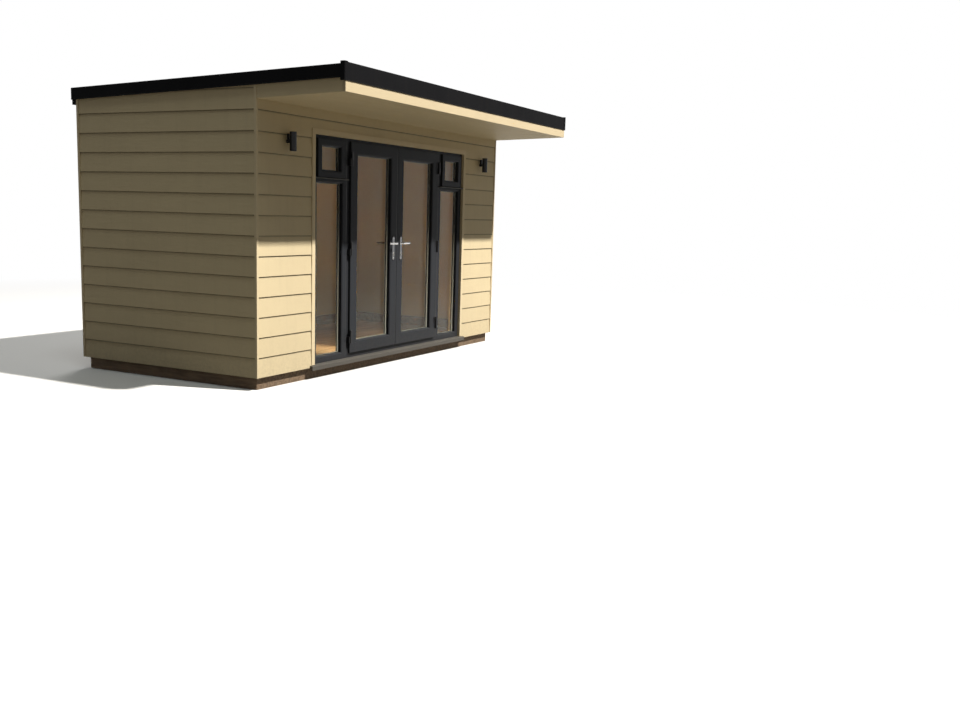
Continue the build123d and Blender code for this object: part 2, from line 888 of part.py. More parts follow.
# Wall lamps: a tube that shines up and down, on an arm from a domed rose
lamp_height = soffit_height - lamp_drop
with BuildPart() as wall_lamps:
    for lamp_x in (x_left + lamp_inset, x_right - lamp_inset):
        wall_face = y_front + cladding_setback
        rose_plane = Plane(origin=(lamp_x, wall_face, lamp_height), x_dir=(1, 0, 0), z_dir=(0, 0, 1))
        with BuildSketch(rose_plane) as half_rose:
            with BuildLine():
                Polyline((0, 0), (rose_radius, 0), (rose_radius, -rose_rim))
                dome = (rose_radius * 0.66, -rose_depth * 0.8)
                ThreePointArc((rose_radius, -rose_rim), dome, (0, -rose_depth))
                Line((0, -rose_depth), (0, 0))
            make_face()
        revolve(half_rose.sketch, axis=Axis((lamp_x, wall_face, lamp_height), (0, 1, 0)))
        with BuildSketch(Plane.XZ.offset(-wall_face)):
            with Locations((lamp_x, lamp_height)):
                Circle(lamp_arm_radius)
        extrude(amount=lamp_stand)
        with BuildSketch(Plane.XY.offset(lamp_height - lamp_length / 2)):
            with Locations((lamp_x, wall_face - lamp_stand)):
                Circle(lamp_radius)
        extrude(amount=lamp_length)
        for end, way in ((lamp_height - lamp_length / 2, 1), (lamp_height + lamp_length / 2, -1)):
            with BuildSketch(Plane.XY.offset(end)):
                with Locations((lamp_x, wall_face - lamp_stand)):
                    Circle(lamp_radius - lamp_wall)
            extrude(amount=way * lamp_recess, mode=Mode.SUBTRACT)
keep(wall_lamps, "wall_lamps")

# Gutter: half round with a beaded lip and closed ends, between the kerbs, in brackets on the rear fascia
gutter_top = fascia_top - gutter_drop - membrane_drip
gutter_y = roof_back + gutter_radius
pipe_x = x_right - pipe_inset
gutter_left = x_left + kerb_width
gutter_right = x_right - kerb_width
with BuildPart() as gutter:
    with BuildSketch(Plane.YZ.offset(gutter_left)) as trough:
        with Locations((gutter_y, gutter_top)):
            Circle(gutter_radius)
            Circle(gutter_radius - gutter_wall, mode=Mode.SUBTRACT)
        with Locations((gutter_y, gutter_top + gutter_radius / 2)):
            Rectangle(2 * gutter_radius, gutter_radius, mode=Mode.SUBTRACT)
        with Locations((gutter_y + gutter_radius - gutter_bead, gutter_top - gutter_bead)):
            Circle(gutter_bead)
    extrude(amount=gutter_right - gutter_left)
    for x0 in (gutter_left, gutter_right - gutter_wall):
        with BuildSketch(Plane.YZ.offset(x0)):
            with Locations((gutter_y, gutter_top)):
                Circle(gutter_radius)
            with Locations((gutter_y, gutter_top + gutter_radius / 2)):
                Rectangle(2 * gutter_radius, gutter_radius, mode=Mode.SUBTRACT)
        extrude(amount=gutter_wall)
    bracket_pitch = (gutter_right - gutter_left - 2 * bracket_inset) / (brackets - 1)
    for count in range(brackets):
        middle = gutter_left + bracket_inset + count * bracket_pitch
        with BuildSketch(Plane.YZ.offset(middle - bracket_width / 2)):
            with Locations((gutter_y, gutter_top)):
                Circle(gutter_radius + gutter_wall)
                Circle(gutter_radius - gutter_wall / 2, mode=Mode.SUBTRACT)
            with Locations((gutter_y, gutter_top + gutter_radius)):
                Rectangle(3 * gutter_radius, 2 * gutter_radius, mode=Mode.SUBTRACT)
            with Locations((roof_back - gutter_wall, gutter_top)):
                Rectangle(2 * gutter_wall, 3 * gutter_radius, mode=Mode.SUBTRACT)
            with Locations((roof_back + gutter_wall / 2, gutter_top - gutter_radius / 2)):
                Rectangle(gutter_wall, gutter_radius)
        extrude(amount=bracket_width)
    with BuildSketch(Plane.XY.offset(gutter_top - gutter_radius - outlet_length / 2)):
        with Locations((pipe_x, gutter_y)):
            Circle(pipe_radius + socket_wall)
    extrude(amount=outlet_length / 2 + gutter_radius / 2)
    with BuildSketch(Plane.YZ.offset(gutter_left + gutter_wall)):
        with Locations((gutter_y, gutter_top)):
            Circle(gutter_radius - gutter_wall)
    extrude(amount=gutter_right - gutter_left - 2 * gutter_wall, mode=Mode.SUBTRACT)
    with BuildSketch(Plane.XY.offset(gutter_top - gutter_radius - outlet_length / 2)):
        with Locations((pipe_x, gutter_y)):
            Circle(pipe_radius - pipe_wall)
    extrude(amount=outlet_length, mode=Mode.SUBTRACT)
keep(gutter, "gutter")

# Downpipe: from the outlet through a swan neck, down the back wall on clips, to a shoe above the ground
pipe_y = y_back - cladding_setback + pipe_stand + pipe_radius
outlet_bottom = gutter_top - gutter_radius - outlet_length / 2
neck_bottom = outlet_bottom - swan_neck_length
shoe_top = pipe_foot + shoe_reach
with BuildPart() as downpipe:
    with BuildLine() as pipe_path:
        Polyline(
            (pipe_x, gutter_y, outlet_bottom),
            (pipe_x, gutter_y, outlet_bottom - swan_neck_length / 3),
            (pipe_x, pipe_y, neck_bottom),
            (pipe_x, pipe_y, shoe_top),
            (pipe_x, pipe_y + shoe_reach, pipe_foot),
        )
    pipe_start = Plane(origin=(pipe_x, gutter_y, outlet_bottom), z_dir=(0, 0, -1))
    with BuildSketch(pipe_start) as pipe_outside:
        Circle(pipe_radius)
    sweep(pipe_outside.sketch, path=pipe_path.wires()[0], transition=Transition.RIGHT)
    for top in (neck_bottom - socket_length / 2, shoe_top + socket_length + pipe_radius):
        with Locations((pipe_x, pipe_y, top - socket_length / 2)):
            Cylinder(pipe_radius + socket_wall, socket_length)
    clip_pitch = (neck_bottom - shoe_top - 2 * clip_end) / 2
    for count in range(3):
        clip_height = shoe_top + clip_end + count * clip_pitch
        with Locations((pipe_x, pipe_y, clip_height)):
            Cylinder(pipe_radius + clip_wall, clip_width)
        block(
            pipe_x - pipe_radius,
            pipe_x + pipe_radius,
            y_back - cladding_setback,
            pipe_y,
            clip_height - clip_width / 2,
            clip_height + clip_width / 2,
        )
    with BuildSketch(pipe_start) as pipe_inside:
        Circle(pipe_radius - pipe_wall)
    sweep(pipe_inside.sketch, path=pipe_path.wires()[0], transition=Transition.RIGHT, mode=Mode.SUBTRACT)
keep(downpipe, "downpipe")
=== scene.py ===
"""Looks of the garden office pod, put together in the order in which it is built. Metres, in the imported
frame: +X right, +Y to the back, +Z up, and the origin on the ground under the middle of the room."""

import json
import math

import bmesh
import bpy
from mathutils import Matrix, Vector


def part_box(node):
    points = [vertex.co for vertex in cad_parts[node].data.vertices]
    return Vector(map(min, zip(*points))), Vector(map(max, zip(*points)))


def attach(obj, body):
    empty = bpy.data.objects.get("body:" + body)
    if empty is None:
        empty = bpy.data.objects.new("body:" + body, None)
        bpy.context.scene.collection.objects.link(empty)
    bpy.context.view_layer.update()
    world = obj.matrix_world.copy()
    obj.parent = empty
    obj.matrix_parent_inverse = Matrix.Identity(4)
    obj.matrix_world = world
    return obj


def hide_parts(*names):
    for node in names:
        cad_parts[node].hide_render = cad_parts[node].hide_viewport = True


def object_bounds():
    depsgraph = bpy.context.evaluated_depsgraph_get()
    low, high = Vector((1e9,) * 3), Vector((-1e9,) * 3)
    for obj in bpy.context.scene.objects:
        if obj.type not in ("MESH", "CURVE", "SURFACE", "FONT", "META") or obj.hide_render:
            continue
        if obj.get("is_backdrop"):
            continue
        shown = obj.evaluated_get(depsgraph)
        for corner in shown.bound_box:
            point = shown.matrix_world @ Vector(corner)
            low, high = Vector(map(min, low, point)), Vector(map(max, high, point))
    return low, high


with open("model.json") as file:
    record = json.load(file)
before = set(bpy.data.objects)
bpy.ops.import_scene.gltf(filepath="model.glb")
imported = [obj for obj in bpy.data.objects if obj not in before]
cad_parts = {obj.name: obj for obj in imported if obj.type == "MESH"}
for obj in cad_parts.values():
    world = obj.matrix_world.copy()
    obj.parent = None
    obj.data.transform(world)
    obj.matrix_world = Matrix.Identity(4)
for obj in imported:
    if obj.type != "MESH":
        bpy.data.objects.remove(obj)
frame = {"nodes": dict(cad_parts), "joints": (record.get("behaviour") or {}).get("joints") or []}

nodes = frame["nodes"]
cad_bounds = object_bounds()


# Floor frame. Sawn softwood joists with a brown preservative, nailed into a raft that lies on the ground.
# The joists run front to back inside a rim, and the grain is drawn along them.


def add(tree, kind, sockets=None, **settings):
    """Add a node. Each socket, by name or number, takes a plain value or another node's output."""
    made = tree.nodes.new(kind)
    for name, value in settings.items():
        setattr(made, name, value)
    for key, value in (sockets or {}).items():
        if isinstance(value, bpy.types.NodeSocket):
            tree.links.new(value, made.inputs[key])
        else:
            made.inputs[key].default_value = value
    return made


def result_of(tree, kind, sockets=None, **settings):
    """Add a node and take its first output."""
    return add(tree, kind, sockets, **settings).outputs[0]


def maths(tree, operation, first, second=0.0, third=0.0, clamp=False):
    """One maths node's result."""
    sockets = {0: first, 1: second, 2: third}
    return result_of(tree, "ShaderNodeMath", sockets, operation=operation, use_clamp=clamp)


def times(tree, first, second):
    """The product of two values."""
    return maths(tree, "MULTIPLY", first, second)


def spread(tree, value, low, high, to_low=0.0, to_high=1.0):
    """A value from low to high, spread evenly over to_low to to_high and held at the ends."""
    sockets = {"Value": value, "From Min": low, "From Max": high, "To Min": to_low, "To Max": to_high}
    return add(tree, "ShaderNodeMapRange", sockets).outputs["Result"]


def mixed(tree, share, first, second, way="MIX"):
    """Two colours mixed by share."""
    sockets = {0: share, 6: first, 7: second}
    return add(tree, "ShaderNodeMix", sockets, data_type="RGBA", blend_type=way).outputs[2]


def noise(tree, place, scale, detail=3.0, roughness=0.55, distortion=0.0):
    """Noise between 0 and 1."""
    sockets = {"Vector": place, "Scale": scale, "Detail": detail}
    sockets.update({"Roughness": roughness, "Distortion": distortion})
    return result_of(tree, "ShaderNodeTexNoise", sockets)


def xyz(tree, x=0.0, y=0.0, z=0.0):
    """A vector from its three parts."""
    return result_of(tree, "ShaderNodeCombineXYZ", {0: x, 1: y, 2: z})


def xyz_of(tree, vector):
    """A vector's three parts."""
    return add(tree, "ShaderNodeSeparateXYZ", {0: vector}).outputs


def mapped(tree, place, scale=(1, 1, 1), turn=0.0):
    """A pattern's place, scaled, or turned about Z."""
    return result_of(tree, "ShaderNodeMapping", {"Vector": place, "Scale": scale, "Rotation": (0, 0, turn)})


def moved(tree, place, offset):
    """A pattern's place, moved by an offset."""
    return result_of(tree, "ShaderNodeVectorMath", {0: place, 1: offset}, operation="ADD")


def toned(tree, colour, lightness):
    """A colour made lighter or darker by a factor."""
    return mixed(tree, 1.0, colour, xyz(tree, lightness, lightness, lightness), "MULTIPLY")


SOCKETS = {
    "number": "NodeSocketFloat",
    "count": "NodeSocketInt",
    "switch": "NodeSocketBool",
    "vector": "NodeSocketVector",
    "colour": "NodeSocketColor",
    "shape": "NodeSocketGeometry",
    "material": "NodeSocketMaterial",
}
NOISE_SPAN = (0.3, 0.7)
SEEDS_APART = 37.0
DUST_DULLS = 0.4


def new_tree(name, kind, inputs, outputs):
    """A node group with named inputs and outputs: the tree, its inputs by name and its output's sockets."""
    tree = bpy.data.node_groups.new(name, kind)
    for label, (sort, value) in inputs.items():
        socket = tree.interface.new_socket(label, in_out="INPUT", socket_type=SOCKETS[sort])
        if value is not None:
            socket.default_value = value
    for label, sort in outputs.items():
        tree.interface.new_socket(label, in_out="OUTPUT", socket_type=SOCKETS[sort])
    given = tree.nodes.new("NodeGroupInput").outputs
    result = tree.nodes.new("NodeGroupOutput").inputs
    return tree, given, result


def timber_grain():
    """Shader group: growth rings and pores of timber whose grain runs along X."""
    inputs = {"Vector": ("vector", None), "Ring spacing": ("number", 0.012), "Seed": ("number", 0.0)}
    outputs = {"Rings": "number", "Pores": "number"}
    tree, given, result = new_tree("Timber grain", "ShaderNodeTree", inputs, outputs)
    place = moved(tree, given["Vector"], xyz(tree, given["Seed"], given["Seed"], given["Seed"]))
    drift = noise(tree, mapped(tree, place, scale=(0.9, 9.0, 9.0)), 1.0, 2.0)
    rings = maths(tree, "DIVIDE", 0.09, given["Ring spacing"])
    bands = maths(tree, "SINE", times(tree, times(tree, drift, rings), 2 * math.pi))
    tree.links.new(spread(tree, bands, -1.0, 1.0), result["Rings"])
    fine = noise(tree, mapped(tree, place, scale=(8.0, 260.0, 260.0)), 1.0, 3.0, 0.7)
    tree.links.new(spread(tree, fine, 0.35, 0.7), result["Pores"])
    return tree


def weathering():
    """Shader group: mottling, faint runs and a low splash of dirt over a colour. Dust is where they lie."""
    inputs = {
        "Vector": ("vector", None),
        "Color": ("colour", (0.8, 0.8, 0.8, 1)),
        "Dirt": ("colour", (0.2, 0.16, 0.11, 1)),
        "Splash height": ("number", 0.7),
        "Mottle": ("number", 0.06),
        "Runs": ("number", 0.05),
        "Splash": ("number", 0.15),
    }
    outputs = {"Color": "colour", "Dust": "number"}
    tree, given, result = new_tree("Weathering", "ShaderNodeTree", inputs, outputs)
    cloud = noise(tree, given["Vector"], 1.7, 5.0, 0.6)
    mottle = times(tree, spread(tree, cloud, *NOISE_SPAN, -1.0, 1.0), given["Mottle"])
    drips = noise(tree, mapped(tree, given["Vector"], scale=(18.0, 18.0, 0.8)), 1.0, 4.0, 0.6)
    runs = times(tree, spread(tree, drips, 0.5, 0.75), given["Runs"])
    height = xyz_of(tree, given["Vector"])[2]
    low = maths(tree, "POWER", spread(tree, height, 0.0, given["Splash height"], 1.0, 0.0), 3.0)
    spatter = spread(tree, noise(tree, given["Vector"], 38.0, 4.0, 0.7), 0.35, 0.65)
    splash = times(tree, times(tree, low, spatter), given["Splash"])
    clouded = toned(tree, given["Color"], maths(tree, "ADD", 1.0, mottle))
    share = maths(tree, "ADD", runs, splash, clamp=True)
    tree.links.new(mixed(tree, share, clouded, given["Dirt"]), result["Color"])
    tree.links.new(share, result["Dust"])
    return tree


grain_group = timber_grain()
weather_group = weathering()


def finish(name, colour, roughness, plain=None):
    """A material with its colour and roughness, and plain values set on the shader's own sockets."""
    material = bpy.data.materials.new(name)
    material.use_nodes = True
    tree = material.node_tree
    shader = tree.nodes["Principled BSDF"]
    shader.inputs["Base Color"].default_value = (*colour, 1)
    shader.inputs["Roughness"].default_value = roughness
    for socket, value in (plain or {}).items():
        shader.inputs[socket].default_value = value
    place = add(tree, "ShaderNodeTexCoord").outputs["Object"]
    return material, tree, shader, place


def group(tree, shared, **values):
    """Place a shared group in a material, with its own values."""
    sockets = {label.replace("_", " "): value for label, value in values.items()}
    return add(tree, "ShaderNodeGroup", sockets, node_tree=shared).outputs


def cover(tree, shader, colour=None, roughness=None, height=None, depth=0.0, strength=1.0):
    """Lead patterns to a shader: its colour, its roughness, and a height pattern of the given depth."""
    for socket, pattern in (("Base Color", colour), ("Roughness", roughness)):
        if pattern is not None:
            tree.links.new(pattern, shader.inputs[socket])
    if height is not None:
        sockets = {"Height": height, "Distance": depth, "Strength": strength}
        tree.links.new(result_of(tree, "ShaderNodeBump", sockets), shader.inputs["Normal"])


def painted(name, colour, roughness, peel_scale, peel_depth, mottle=0.04, runs=0.0, splash=0.0, plain=None):
    """A painted or moulded surface: even colour with faint mottling and a fine orange peel."""
    material, tree, shader, place = finish(name, colour, roughness, plain)
    values = dict(Vector=place, Color=(*colour, 1), Mottle=mottle, Runs=runs, Splash=splash)
    worn = group(tree, weather_group, **values)
    peel = noise(tree, place, peel_scale, 2.0, 0.5)
    patch = noise(tree, place, 4.0, 4.0, 0.6)
    gloss = spread(tree, patch, *NOISE_SPAN, roughness - 0.05, roughness + 0.07)
    dusty = maths(tree, "ADD", gloss, times(tree, worn["Dust"], DUST_DULLS))
    cover(tree, shader, worn["Color"], dusty, peel, peel_depth)
    return material


def timber(name, pale, dark, roughness, spacing, depth, turn=0.0, splash=0.0, tone=None, plain=None):
    """A timber surface, its grain along X or turned about Z. Its boards differ where a tone is given."""
    material, tree, shader, place = finish(name, pale, roughness, plain)
    along = mapped(tree, place, turn=turn) if turn else place
    seed = times(tree, tone(tree), SEEDS_APART) if tone else 0.0
    grain = group(tree, grain_group, Vector=along, Ring_spacing=spacing, Seed=seed)
    figure = maths(tree, "MULTIPLY_ADD", grain["Rings"], 0.75, times(tree, grain["Pores"], 0.25))
    coloured = mixed(tree, figure, (*dark, 1), (*pale, 1))
    if tone:
        coloured = toned(tree, coloured, spread(tree, tone(tree), 0.0, 1.0, 0.84, 1.1))
    worn = group(tree, weather_group, Vector=place, Color=coloured, Splash=splash)
    dull = spread(tree, grain["Pores"], 0.0, 1.0, roughness + 0.1, roughness)
    cover(tree, shader, worn["Color"], dull, grain["Pores"], depth)
    return material


def dress(material, *parts):
    """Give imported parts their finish."""
    for part in parts:
        slots = nodes[part].data.materials
        slots.clear()
        slots.append(material)


treated_brown = ((0.26, 0.17, 0.1), (0.13, 0.08, 0.045))
dress(timber("treated_timber", *treated_brown, 0.75, 0.011, 0.0012, math.pi / 2, 0.4), "floor_frame")


# Floor deck. 18 mm flaked boards screwed to the joists, seen only from below between them.
# The flakes are pressed flat, so they show as small straight-sided patches of several browns.


def flaked(name):
    """Pressed flakes of several browns."""
    material, tree, shader, place = finish(name, (0.5, 0.36, 0.2), 0.7)
    push = times(tree, noise(tree, place, 14.0, 2.0), 0.05)
    bent = moved(tree, place, xyz(tree, push, push))
    sockets = {"Vector": mapped(tree, bent, scale=(1.0, 2.4, 1.0)), "Scale": 26.0}
    flakes = add(tree, "ShaderNodeTexVoronoi", sockets, distance="MINKOWSKI")
    value = xyz_of(tree, flakes.outputs["Color"])[0]
    coloured = mixed(tree, value, (0.36, 0.23, 0.11, 1), (0.62, 0.47, 0.27, 1))
    cover(tree, shader, coloured, spread(tree, value, 0.0, 1.0, 0.55, 0.8), value, 0.0006)
    return material


dress(flaked("flaked_board"), "floor_deck")


# Laminate floor. Clicked planks with a micro-bevel, an orange-brown oak print and a satin face.
# They run along the room, each row started from a different length, and stop under the skirting.


def new_object(name, mesh):
    """A new object of a mesh, in the scene."""
    made = bpy.data.objects.new(name, mesh)
    bpy.context.scene.collection.objects.link(made)
    return made


def evaluated(piece):
    """A plain mesh of a piece as its modifiers leave it."""
    bpy.context.view_layer.update()
    seen = piece.evaluated_get(bpy.context.evaluated_depsgraph_get())
    return bpy.data.meshes.new_from_object(seen)


def grow(tree, name, points=(), **values):
    """Run a geometry tree with named values, and points where it takes them, and keep its plain mesh."""
    carried = bpy.data.meshes.new(name + ".points")
    carried.from_pydata([tuple(point) for point in points], [], [])
    carrier = new_object(name + ".carrier", carried)
    modifier = carrier.modifiers.new("Tree", "NODES")
    modifier.node_group = tree
    sockets = {s.name: s.identifier for s in tree.interface.items_tree if s.in_out == "INPUT"}
    for label, value in values.items():
        modifier[sockets[label.replace("_", " ")]] = value
    mesh = evaluated(carrier)
    bpy.data.objects.remove(carrier)
    mesh.name = name
    return new_object(name, mesh)


def cut_to(piece, planes):
    """Cut a piece's closed meshes at planes of (point, way out) and close the cuts."""
    mesh = bmesh.new()
    mesh.from_mesh(piece.data)
    for point, out in planes:
        everything = mesh.verts[:] + mesh.edges[:] + mesh.faces[:]
        plane = dict(plane_co=point, plane_no=out, clear_outer=True)
        cut = bmesh.ops.bisect_plane(mesh, geom=everything, dist=1e-6, **plane)
        edges = [part for part in cut["geom_cut"] if isinstance(part, bmesh.types.BMEdge)]
        bmesh.ops.holes_fill(mesh, edges=[edge for edge in edges if edge.is_boundary])
    bmesh.ops.recalc_face_normals(mesh, faces=mesh.faces)
    mesh.to_mesh(piece.data)
    mesh.free()
    return piece


def joined(name, pieces):
    """Several meshes made one piece."""
    mesh = bmesh.new()
    materials = []
    for piece in pieces:
        for material in piece.data.materials:
            if material not in materials:
                materials.append(material)
    for piece in pieces:
        start = len(mesh.faces)
        mesh.from_mesh(piece.data)
        mesh.faces.ensure_lookup_table()
        own = [materials.index(material) for material in piece.data.materials] or [0]
        for face in mesh.faces[start:]:
            face.material_index = own[min(face.material_index, len(own) - 1)]
        bpy.data.objects.remove(piece)
    data = bpy.data.meshes.new(name)
    mesh.to_mesh(data)
    mesh.free()
    for material in materials:
        data.materials.append(material)
    return new_object(name, data)


def soften(piece, width, segments=1):
    """Take the sharp arris off a piece's edges."""
    bevel = piece.modifiers.new("Arris", "BEVEL")
    bevel.width = width
    bevel.segments = segments
    bevel.limit_method = "ANGLE"
    bevel.angle_limit = math.radians(40)


def settle(piece, body, slot, *replaced):
    """Attach a finished piece to its body, and hide the imported parts that it replaces."""
    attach(piece, body)
    if replaced:
        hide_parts(*replaced)


def line_of_points(tree, count, step):
    """Geometry nodes for points in a line from the origin."""
    return result_of(tree, "GeometryNodeMeshLine", {"Count": count, "Offset": step}, mode="OFFSET")


def placed(tree, shape, place, turn=(0, 0, 0)):
    """Geometry nodes that turn a shape about the origin and move it to its place."""
    sockets = {"Geometry": shape, "Translation": place, "Rotation": turn}
    return result_of(tree, "GeometryNodeTransform", sockets)


def pushed(tree, shape, offset):
    """Geometry nodes that move each point of a shape by its own offset."""
    return result_of(tree, "GeometryNodeSetPosition", {"Geometry": shape, "Offset": offset})


def copies(tree, points, shape, **values):
    """Geometry nodes for a copy of a shape at each point."""
    sockets = {"Points": points, "Instance": shape, **values}
    return result_of(tree, "GeometryNodeInstanceOnPoints", sockets)


def random_value(tree, seed, low=0.0, high=1.0):
    """A random value for each point or copy."""
    sockets = {2: low, 3: high, "Seed": seed}
    return add(tree, "FunctionNodeRandomValue", sockets, data_type="FLOAT").outputs[1]


def block(tree, size):
    """Geometry nodes for a block with one corner at the origin."""
    cube = result_of(tree, "GeometryNodeMeshCube", {"Size": size})
    half = result_of(tree, "ShaderNodeVectorMath", {0: size, 1: (0.5, 0.5, 0.5)}, operation="MULTIPLY")
    return placed(tree, cube, half)


def with_tone(tree, boards, seed):
    """Geometry nodes that store a random tone on each board, for its material to read."""
    sockets = {"Geometry": boards, "Name": "tone", "Value": random_value(tree, seed)}
    settings = dict(data_type="FLOAT", domain="INSTANCE")
    return result_of(tree, "GeometryNodeStoreNamedAttribute", sockets, **settings)


def give_out(tree, shape, material, result):
    """End a geometry tree: its instances made real, with their material."""
    real = result_of(tree, "GeometryNodeRealizeInstances", {"Geometry": shape})
    covered = result_of(tree, "GeometryNodeSetMaterial", {"Geometry": real, "Material": material})
    tree.links.new(covered, result["Geometry"])


def planks_tree():
    """Geometry tree: rows of planks along X, each row shifted, and every plank with its own tone."""
    inputs = {
        "Start": ("vector", (0, 0, 0)),
        "Rows": ("count", 9),
        "In a row": ("count", 4),
        "Length": ("number", 1.2),
        "Width": ("number", 0.19),
        "Thickness": ("number", 0.012),
        "Row shift": ("number", 0.4),
        "Joint": ("number", 0.0),
        "Seed": ("count", 4),
        "Material": ("material", None),
    }
    tree, given, result = new_tree("Planks", "GeometryNodeTree", inputs, {"Geometry": "shape"})
    row = line_of_points(tree, given["In a row"], xyz(tree, given["Length"]))
    rows = line_of_points(tree, given["Rows"], xyz(tree, 0.0, given["Width"]))
    index = result_of(tree, "GeometryNodeInputIndex")
    part = maths(tree, "MODULO", times(tree, index, given["Row shift"]), 1.0)
    back = times(tree, times(tree, part, -1.0), given["Length"])
    laid = copies(tree, pushed(tree, rows, xyz(tree, back)), row)
    points = result_of(tree, "GeometryNodeRealizeInstances", {"Geometry": laid})
    length = maths(tree, "SUBTRACT", given["Length"], given["Joint"])
    width = maths(tree, "SUBTRACT", given["Width"], given["Joint"])
    plank = block(tree, xyz(tree, length, width, given["Thickness"]))
    varied = with_tone(tree, copies(tree, points, plank), given["Seed"])
    give_out(tree, placed(tree, varied, given["Start"]), given["Material"], result)
    return tree


def own_tone(tree):
    """The tone that each board or plank carries."""
    return add(tree, "ShaderNodeAttribute", attribute_name="tone").outputs["Fac"]


OAK = ((0.54, 0.285, 0.125), (0.33, 0.145, 0.055))
PLANK_LENGTH = 1.285
PLANK_WIDTH = 0.192
FIRST_ROW_CUT = 0.06
laminate_low, laminate_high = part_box("laminate_floor")
head_low, head_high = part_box("front_wall_head")
room_front = head_high.y
oak = timber("oak_laminate", *OAK, 0.34, 0.02, 0.00015, tone=own_tone, plain={"Coat Weight": 0.15})
plank_maker = planks_tree()


def laminate_part(x0, x1, y0, y1):
    """Planks cut to one rectangle of the floor."""
    planks = grow(
        plank_maker,
        "laminate_part",
        Start=(laminate_low.x, laminate_low.y - FIRST_ROW_CUT, laminate_low.z),
        Rows=10,
        In_a_row=5,
        Length=PLANK_LENGTH,
        Width=PLANK_WIDTH,
        Thickness=laminate_high.z - laminate_low.z,
        Row_shift=0.37,
        Joint=0.0002,
        Material=oak,
    )
    sides = [((x0, 0, 0), (-1, 0, 0)), ((x1, 0, 0), (1, 0, 0))]
    return cut_to(planks, sides + [((0, y0, 0), (0, -1, 0)), ((0, y1, 0), (0, 1, 0))])


room_part = laminate_part(laminate_low.x, laminate_high.x, room_front, laminate_high.y)
doorway_part = laminate_part(head_low.x, head_high.x, laminate_low.y, room_front)
laminate = joined("laminate_planks", [room_part, doorway_part])
soften(laminate, 0.0006)
settle(laminate, "building", "laminate", "laminate_floor")


# Wall panels. Studs, insulation and lining board, rolled inside with a warm tan emulsion.
# Their edges at the opening are closed by the frames and the opening trim.

MATT = {"Specular IOR Level": 0.15}
emulsion = painted("wall_emulsion", (0.76, 0.55, 0.28), 0.75, 900.0, 0.0002, mottle=0.02, plain=MATT)
dress(emulsion, "left_wall", "right_wall", "back_wall")
dress(emulsion, "front_wall_left", "front_wall_right", "front_wall_head")


# Weatherboards. Fibre cement boards 190 mm by 8 mm with a wood-grain emboss and a cream factory finish,
# lapped to a 160 mm gauge from the bottom up. They are nailed out of sight under the lap. The front's are
# notched round the doorway, and only the long back has joints.

GAUGE = 0.16
JOINTS_WITHIN = (0.3, 0.72)
BOARD_HEIGHT = 0.19
BOARD_THICKNESS = 0.008
BOARD_LEAN = 0.0095
BOARD_ARRIS = 0.0008
END_GAP = 0.002
ROOF_FALL = 1 / 33
SAW_DEPTHS = (-1.5, -0.5)
CREAM = (0.72, 0.595, 0.375)
PORE_BROWN = (0.42, 0.34, 0.22, 1)
# Colour of the painted shade under each lap.
LAP_SHADE = (0.1, 0.075, 0.04, 1)
lowest_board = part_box("left_cladding")[0].z


def boards_tree():
    """Geometry tree: lapped boards from the ground up, along X with faces to -Y, then turned into place.
    Where they are jointed, each course is two lengths that meet at a stud, a random one."""
    inputs = {
        "Length": ("number", 1.9),
        "Courses": ("count", 15),
        "Gauge": ("number", 0.16),
        "Height": ("number", 0.19),
        "Thickness": ("number", 0.008),
        "Lean": ("number", 0.0095),
        "Jointed": ("switch", False),
        "Joint step": ("number", 0.4),
        "Joint gap": ("number", 0.003),
        "Seed": ("count", 1),
        "Place": ("vector", (0, 0, 0)),
        "Turn": ("vector", (0, 0, 0)),
        "Material": ("material", None),
    }
    tree, given, result = new_tree("Lapped boards", "GeometryNodeTree", inputs, {"Geometry": "shape"})
    courses = line_of_points(tree, given["Courses"], xyz(tree, 0.0, 0.0, given["Gauge"]))
    board = block(tree, xyz(tree, 1.0, given["Thickness"], given["Height"]))
    height = xyz_of(tree, result_of(tree, "GeometryNodeInputPosition"))[2]
    lean = times(tree, maths(tree, "DIVIDE", height, given["Height"]), given["Lean"])
    leaning = pushed(tree, board, xyz(tree, 0.0, lean))
    share = random_value(tree, given["Seed"], *JOINTS_WITHIN)
    steps = maths(tree, "DIVIDE", times(tree, share, given["Length"]), given["Joint step"])
    stud = times(tree, maths(tree, "ROUND", steps), given["Joint step"])
    sockets = {0: given["Jointed"], 1: given["Length"], 2: stud}
    first = result_of(tree, "GeometryNodeSwitch", sockets, input_type="FLOAT")
    starts = copies(tree, courses, leaning, Scale=xyz(tree, first, 1.0, 1.0))
    second = maths(tree, "ADD", first, given["Joint gap"])
    seconds = pushed(tree, courses, xyz(tree, second))
    rest = xyz(tree, maths(tree, "SUBTRACT", given["Length"], second), 1.0, 1.0)
    ends = copies(tree, seconds, leaning, Selection=given["Jointed"], Scale=rest)
    both = add(tree, "GeometryNodeJoinGeometry")
    tree.links.new(ends, both.inputs[0])
    tree.links.new(starts, both.inputs[0])
    varied = with_tone(tree, both.outputs[0], given["Seed"])
    give_out(tree, placed(tree, varied, given["Place"], given["Turn"]), given["Material"], result)
    return tree


